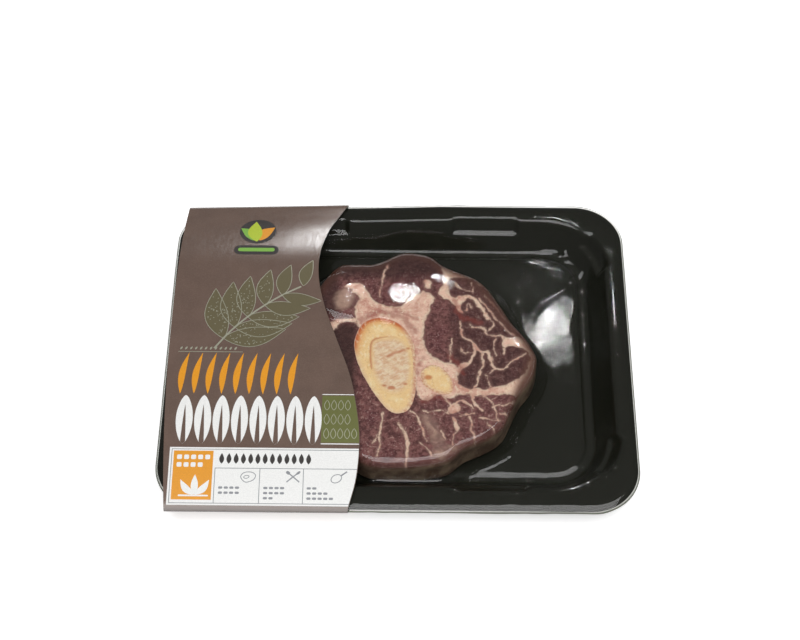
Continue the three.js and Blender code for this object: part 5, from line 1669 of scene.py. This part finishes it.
class SKINPACK_OT_band(bpy.types.Operator):
    """Makes the card band and its print"""
    bl_idname = "skinpack.band"
    bl_label = "Card band"

    def execute(self, context):
        colours = context.scene.skinpack_colours
        card = board_material("printed_carton_board", tuple(colours.card), 0.17)
        raw = board_material("raw_carton_board", tuple(colours.board), 0.8)
        lit = bpy.data.collections[LIT_BY_WINDOW].objects
        lit.link(dress(make_band(), "sleeve", "printed_card", card, raw))
        inks = {
            "print_white": ink_material("white_offset_ink", tuple(colours.white_ink)),
            "print_orange": ink_material("orange_offset_ink", tuple(colours.orange_ink)),
            "print_grey": ink_material("grey_offset_ink", tuple(colours.grey_ink)),
            "print_black": ink_material("black_offset_ink", tuple(colours.black_ink)),
            "foil_olive": ink_material("olive_hot_foil", tuple(colours.olive_foil), 0.34, 0.2, 0.03),
            "foil_leaves": ink_material("clear_olive_foil", tuple(colours.leaf_foil), 0.3, 0.2, 0.05),
            "foil_edge": ink_material("embossed_foil_edge", tuple(colours.foil_edge), 0.3, 0.6, 0.02),
            "badge_lime": ink_material("lime_offset_ink", tuple(colours.lime)),
            "badge_green": ink_material("green_offset_ink", tuple(colours.green)),
        }
        inks["print_tile_white"] = inks["print_white"]
        inks["badge_dark"] = inks["print_black"]
        inks["badge_orange"] = inks["print_orange"]
        for name, obj in make_print().items():
            lit.link(dress(obj, None, "printed_card", inks[name]))
        return {"FINISHED"}


def add_softbox(name, place_mm, target_mm, width, height, power):
    """A soft white rectangular light that faces a point."""
    light = bpy.data.lights.new(name, "AREA")
    light.shape, light.size, light.size_y = "RECTANGLE", width * MM, height * MM
    light.energy = power
    obj = bpy.data.objects.new(name, light)
    here, there = Vector(to_frame(place_mm)[0]), Vector(to_frame(target_mm)[0])
    turn = (there - here).to_track_quat("-Z", "Y").to_matrix().to_4x4()
    obj.matrix_world = Matrix.Translation(here) @ turn
    bpy.context.scene.collection.objects.link(obj)
    return obj


class SKINPACK_OT_stage(bpy.types.Operator):
    """Sets up the floor, the studio light and the camera"""
    bl_idname = "skinpack.stage"
    bl_label = "Stage"

    def execute(self, context):
        scene = context.scene
        corners = [(x * FLOOR_HALF, y * FLOOR_HALF, -FLOOR_DROP)
                   for x, y in ((-1, -1), (1, -1), (1, 1), (-1, 1))]
        floor = add_object("studio_floor", corners, [[0, 1, 2, 3]], smooth=False)
        floor.data.materials.append(floor_material())
        world = bpy.data.worlds.new("studio_air")
        world.use_nodes = True
        world.node_tree.nodes["Background"].inputs["Color"].default_value = linear("#ffffff")
        world.node_tree.nodes["Background"].inputs["Strength"].default_value = AIR_GLOW
        scene.world = world
        scene.view_settings.view_transform = "Standard"
        power = scene.skinpack_sizes.lamp_power
        lights = {name: add_softbox(name, *where, share * power) for name, *where, share in LIGHTS}
        # A flag keeps this light off everything but the card
        lights["window_left"].light_linking.receiver_collection = bpy.data.collections.new(LIT_BY_WINDOW)
        self.add_camera(scene)
        return {"FINISHED"}

    def add_camera(self, scene):
        """The camera looks down on the rim plane's middle from the front, at the photo's angle: its axes
        are turned by the pitch, then by the yaw about Z, then rolled about the view."""
        pitch, yaw, roll = (math.radians(a) for a in (CAMERA_PITCH, CAMERA_YAW, CAMERA_ROLL))
        turn = Matrix.Rotation(-yaw, 3, "Z")
        forward = turn @ Vector((0, math.cos(pitch), -math.sin(pitch)))
        up = turn @ Vector((0, math.sin(pitch), math.cos(pitch)))
        side = turn @ Vector((1, 0, 0))
        place_mm = Vector((0, SHIFT_Y, RIM)) - side * CAMERA_SIDE - up * CAMERA_UP - forward * CAMERA_AWAY
        rolled_side = side * math.cos(roll) - up * math.sin(roll)
        rolled_up = side * math.sin(roll) + up * math.cos(roll)
        data = bpy.data.cameras.new("camera")
        data.sensor_fit, data.sensor_width = "HORIZONTAL", SENSOR_MM
        data.lens = FOCAL_PIXELS / FRAME_PIXELS * SENSOR_MM
        data.clip_start, data.clip_end = 0.05, 20
        camera = bpy.data.objects.new("camera", data)
        axes = Matrix((rolled_side, rolled_up, -forward)).transposed()
        camera.matrix_world = Matrix.Translation(place_mm * MM) @ axes.to_4x4()
        scene.collection.objects.link(camera)
        scene.camera = camera


class SKINPACK_PT_panel(bpy.types.Panel):
    """Lists the operators of the skin pack"""
    bl_label = "Skin Pack"
    bl_idname = "SKINPACK_PT_panel"
    bl_space_type = "VIEW_3D"
    bl_region_type = "UI"
    bl_category = "Skin Pack"

    def draw(self, context):
        for operator in OPERATORS:
            self.layout.operator(operator.bl_idname)
        for group in (context.scene.skinpack_sizes, context.scene.skinpack_colours):
            for name in group.__annotations__:
                self.layout.prop(group, name)


OPERATORS = (SKINPACK_OT_stage, SKINPACK_OT_tray, SKINPACK_OT_meat, SKINPACK_OT_film, SKINPACK_OT_band)
CLASSES = (SkinPackSizes, SkinPackColours) + OPERATORS + (SKINPACK_PT_panel,)


def register():
    for cls in CLASSES:
        bpy.utils.register_class(cls)
    bpy.types.Scene.skinpack_sizes = PointerProperty(type=SkinPackSizes)
    bpy.types.Scene.skinpack_colours = PointerProperty(type=SkinPackColours)


def unregister():
    del bpy.types.Scene.skinpack_sizes
    del bpy.types.Scene.skinpack_colours
    for cls in reversed(CLASSES):
        bpy.utils.unregister_class(cls)


def main():
    register()
    for step in (bpy.ops.skinpack.stage, bpy.ops.skinpack.tray, bpy.ops.skinpack.meat,
                 bpy.ops.skinpack.film, bpy.ops.skinpack.band):
        step()


if __name__ == "__main__":
    main()
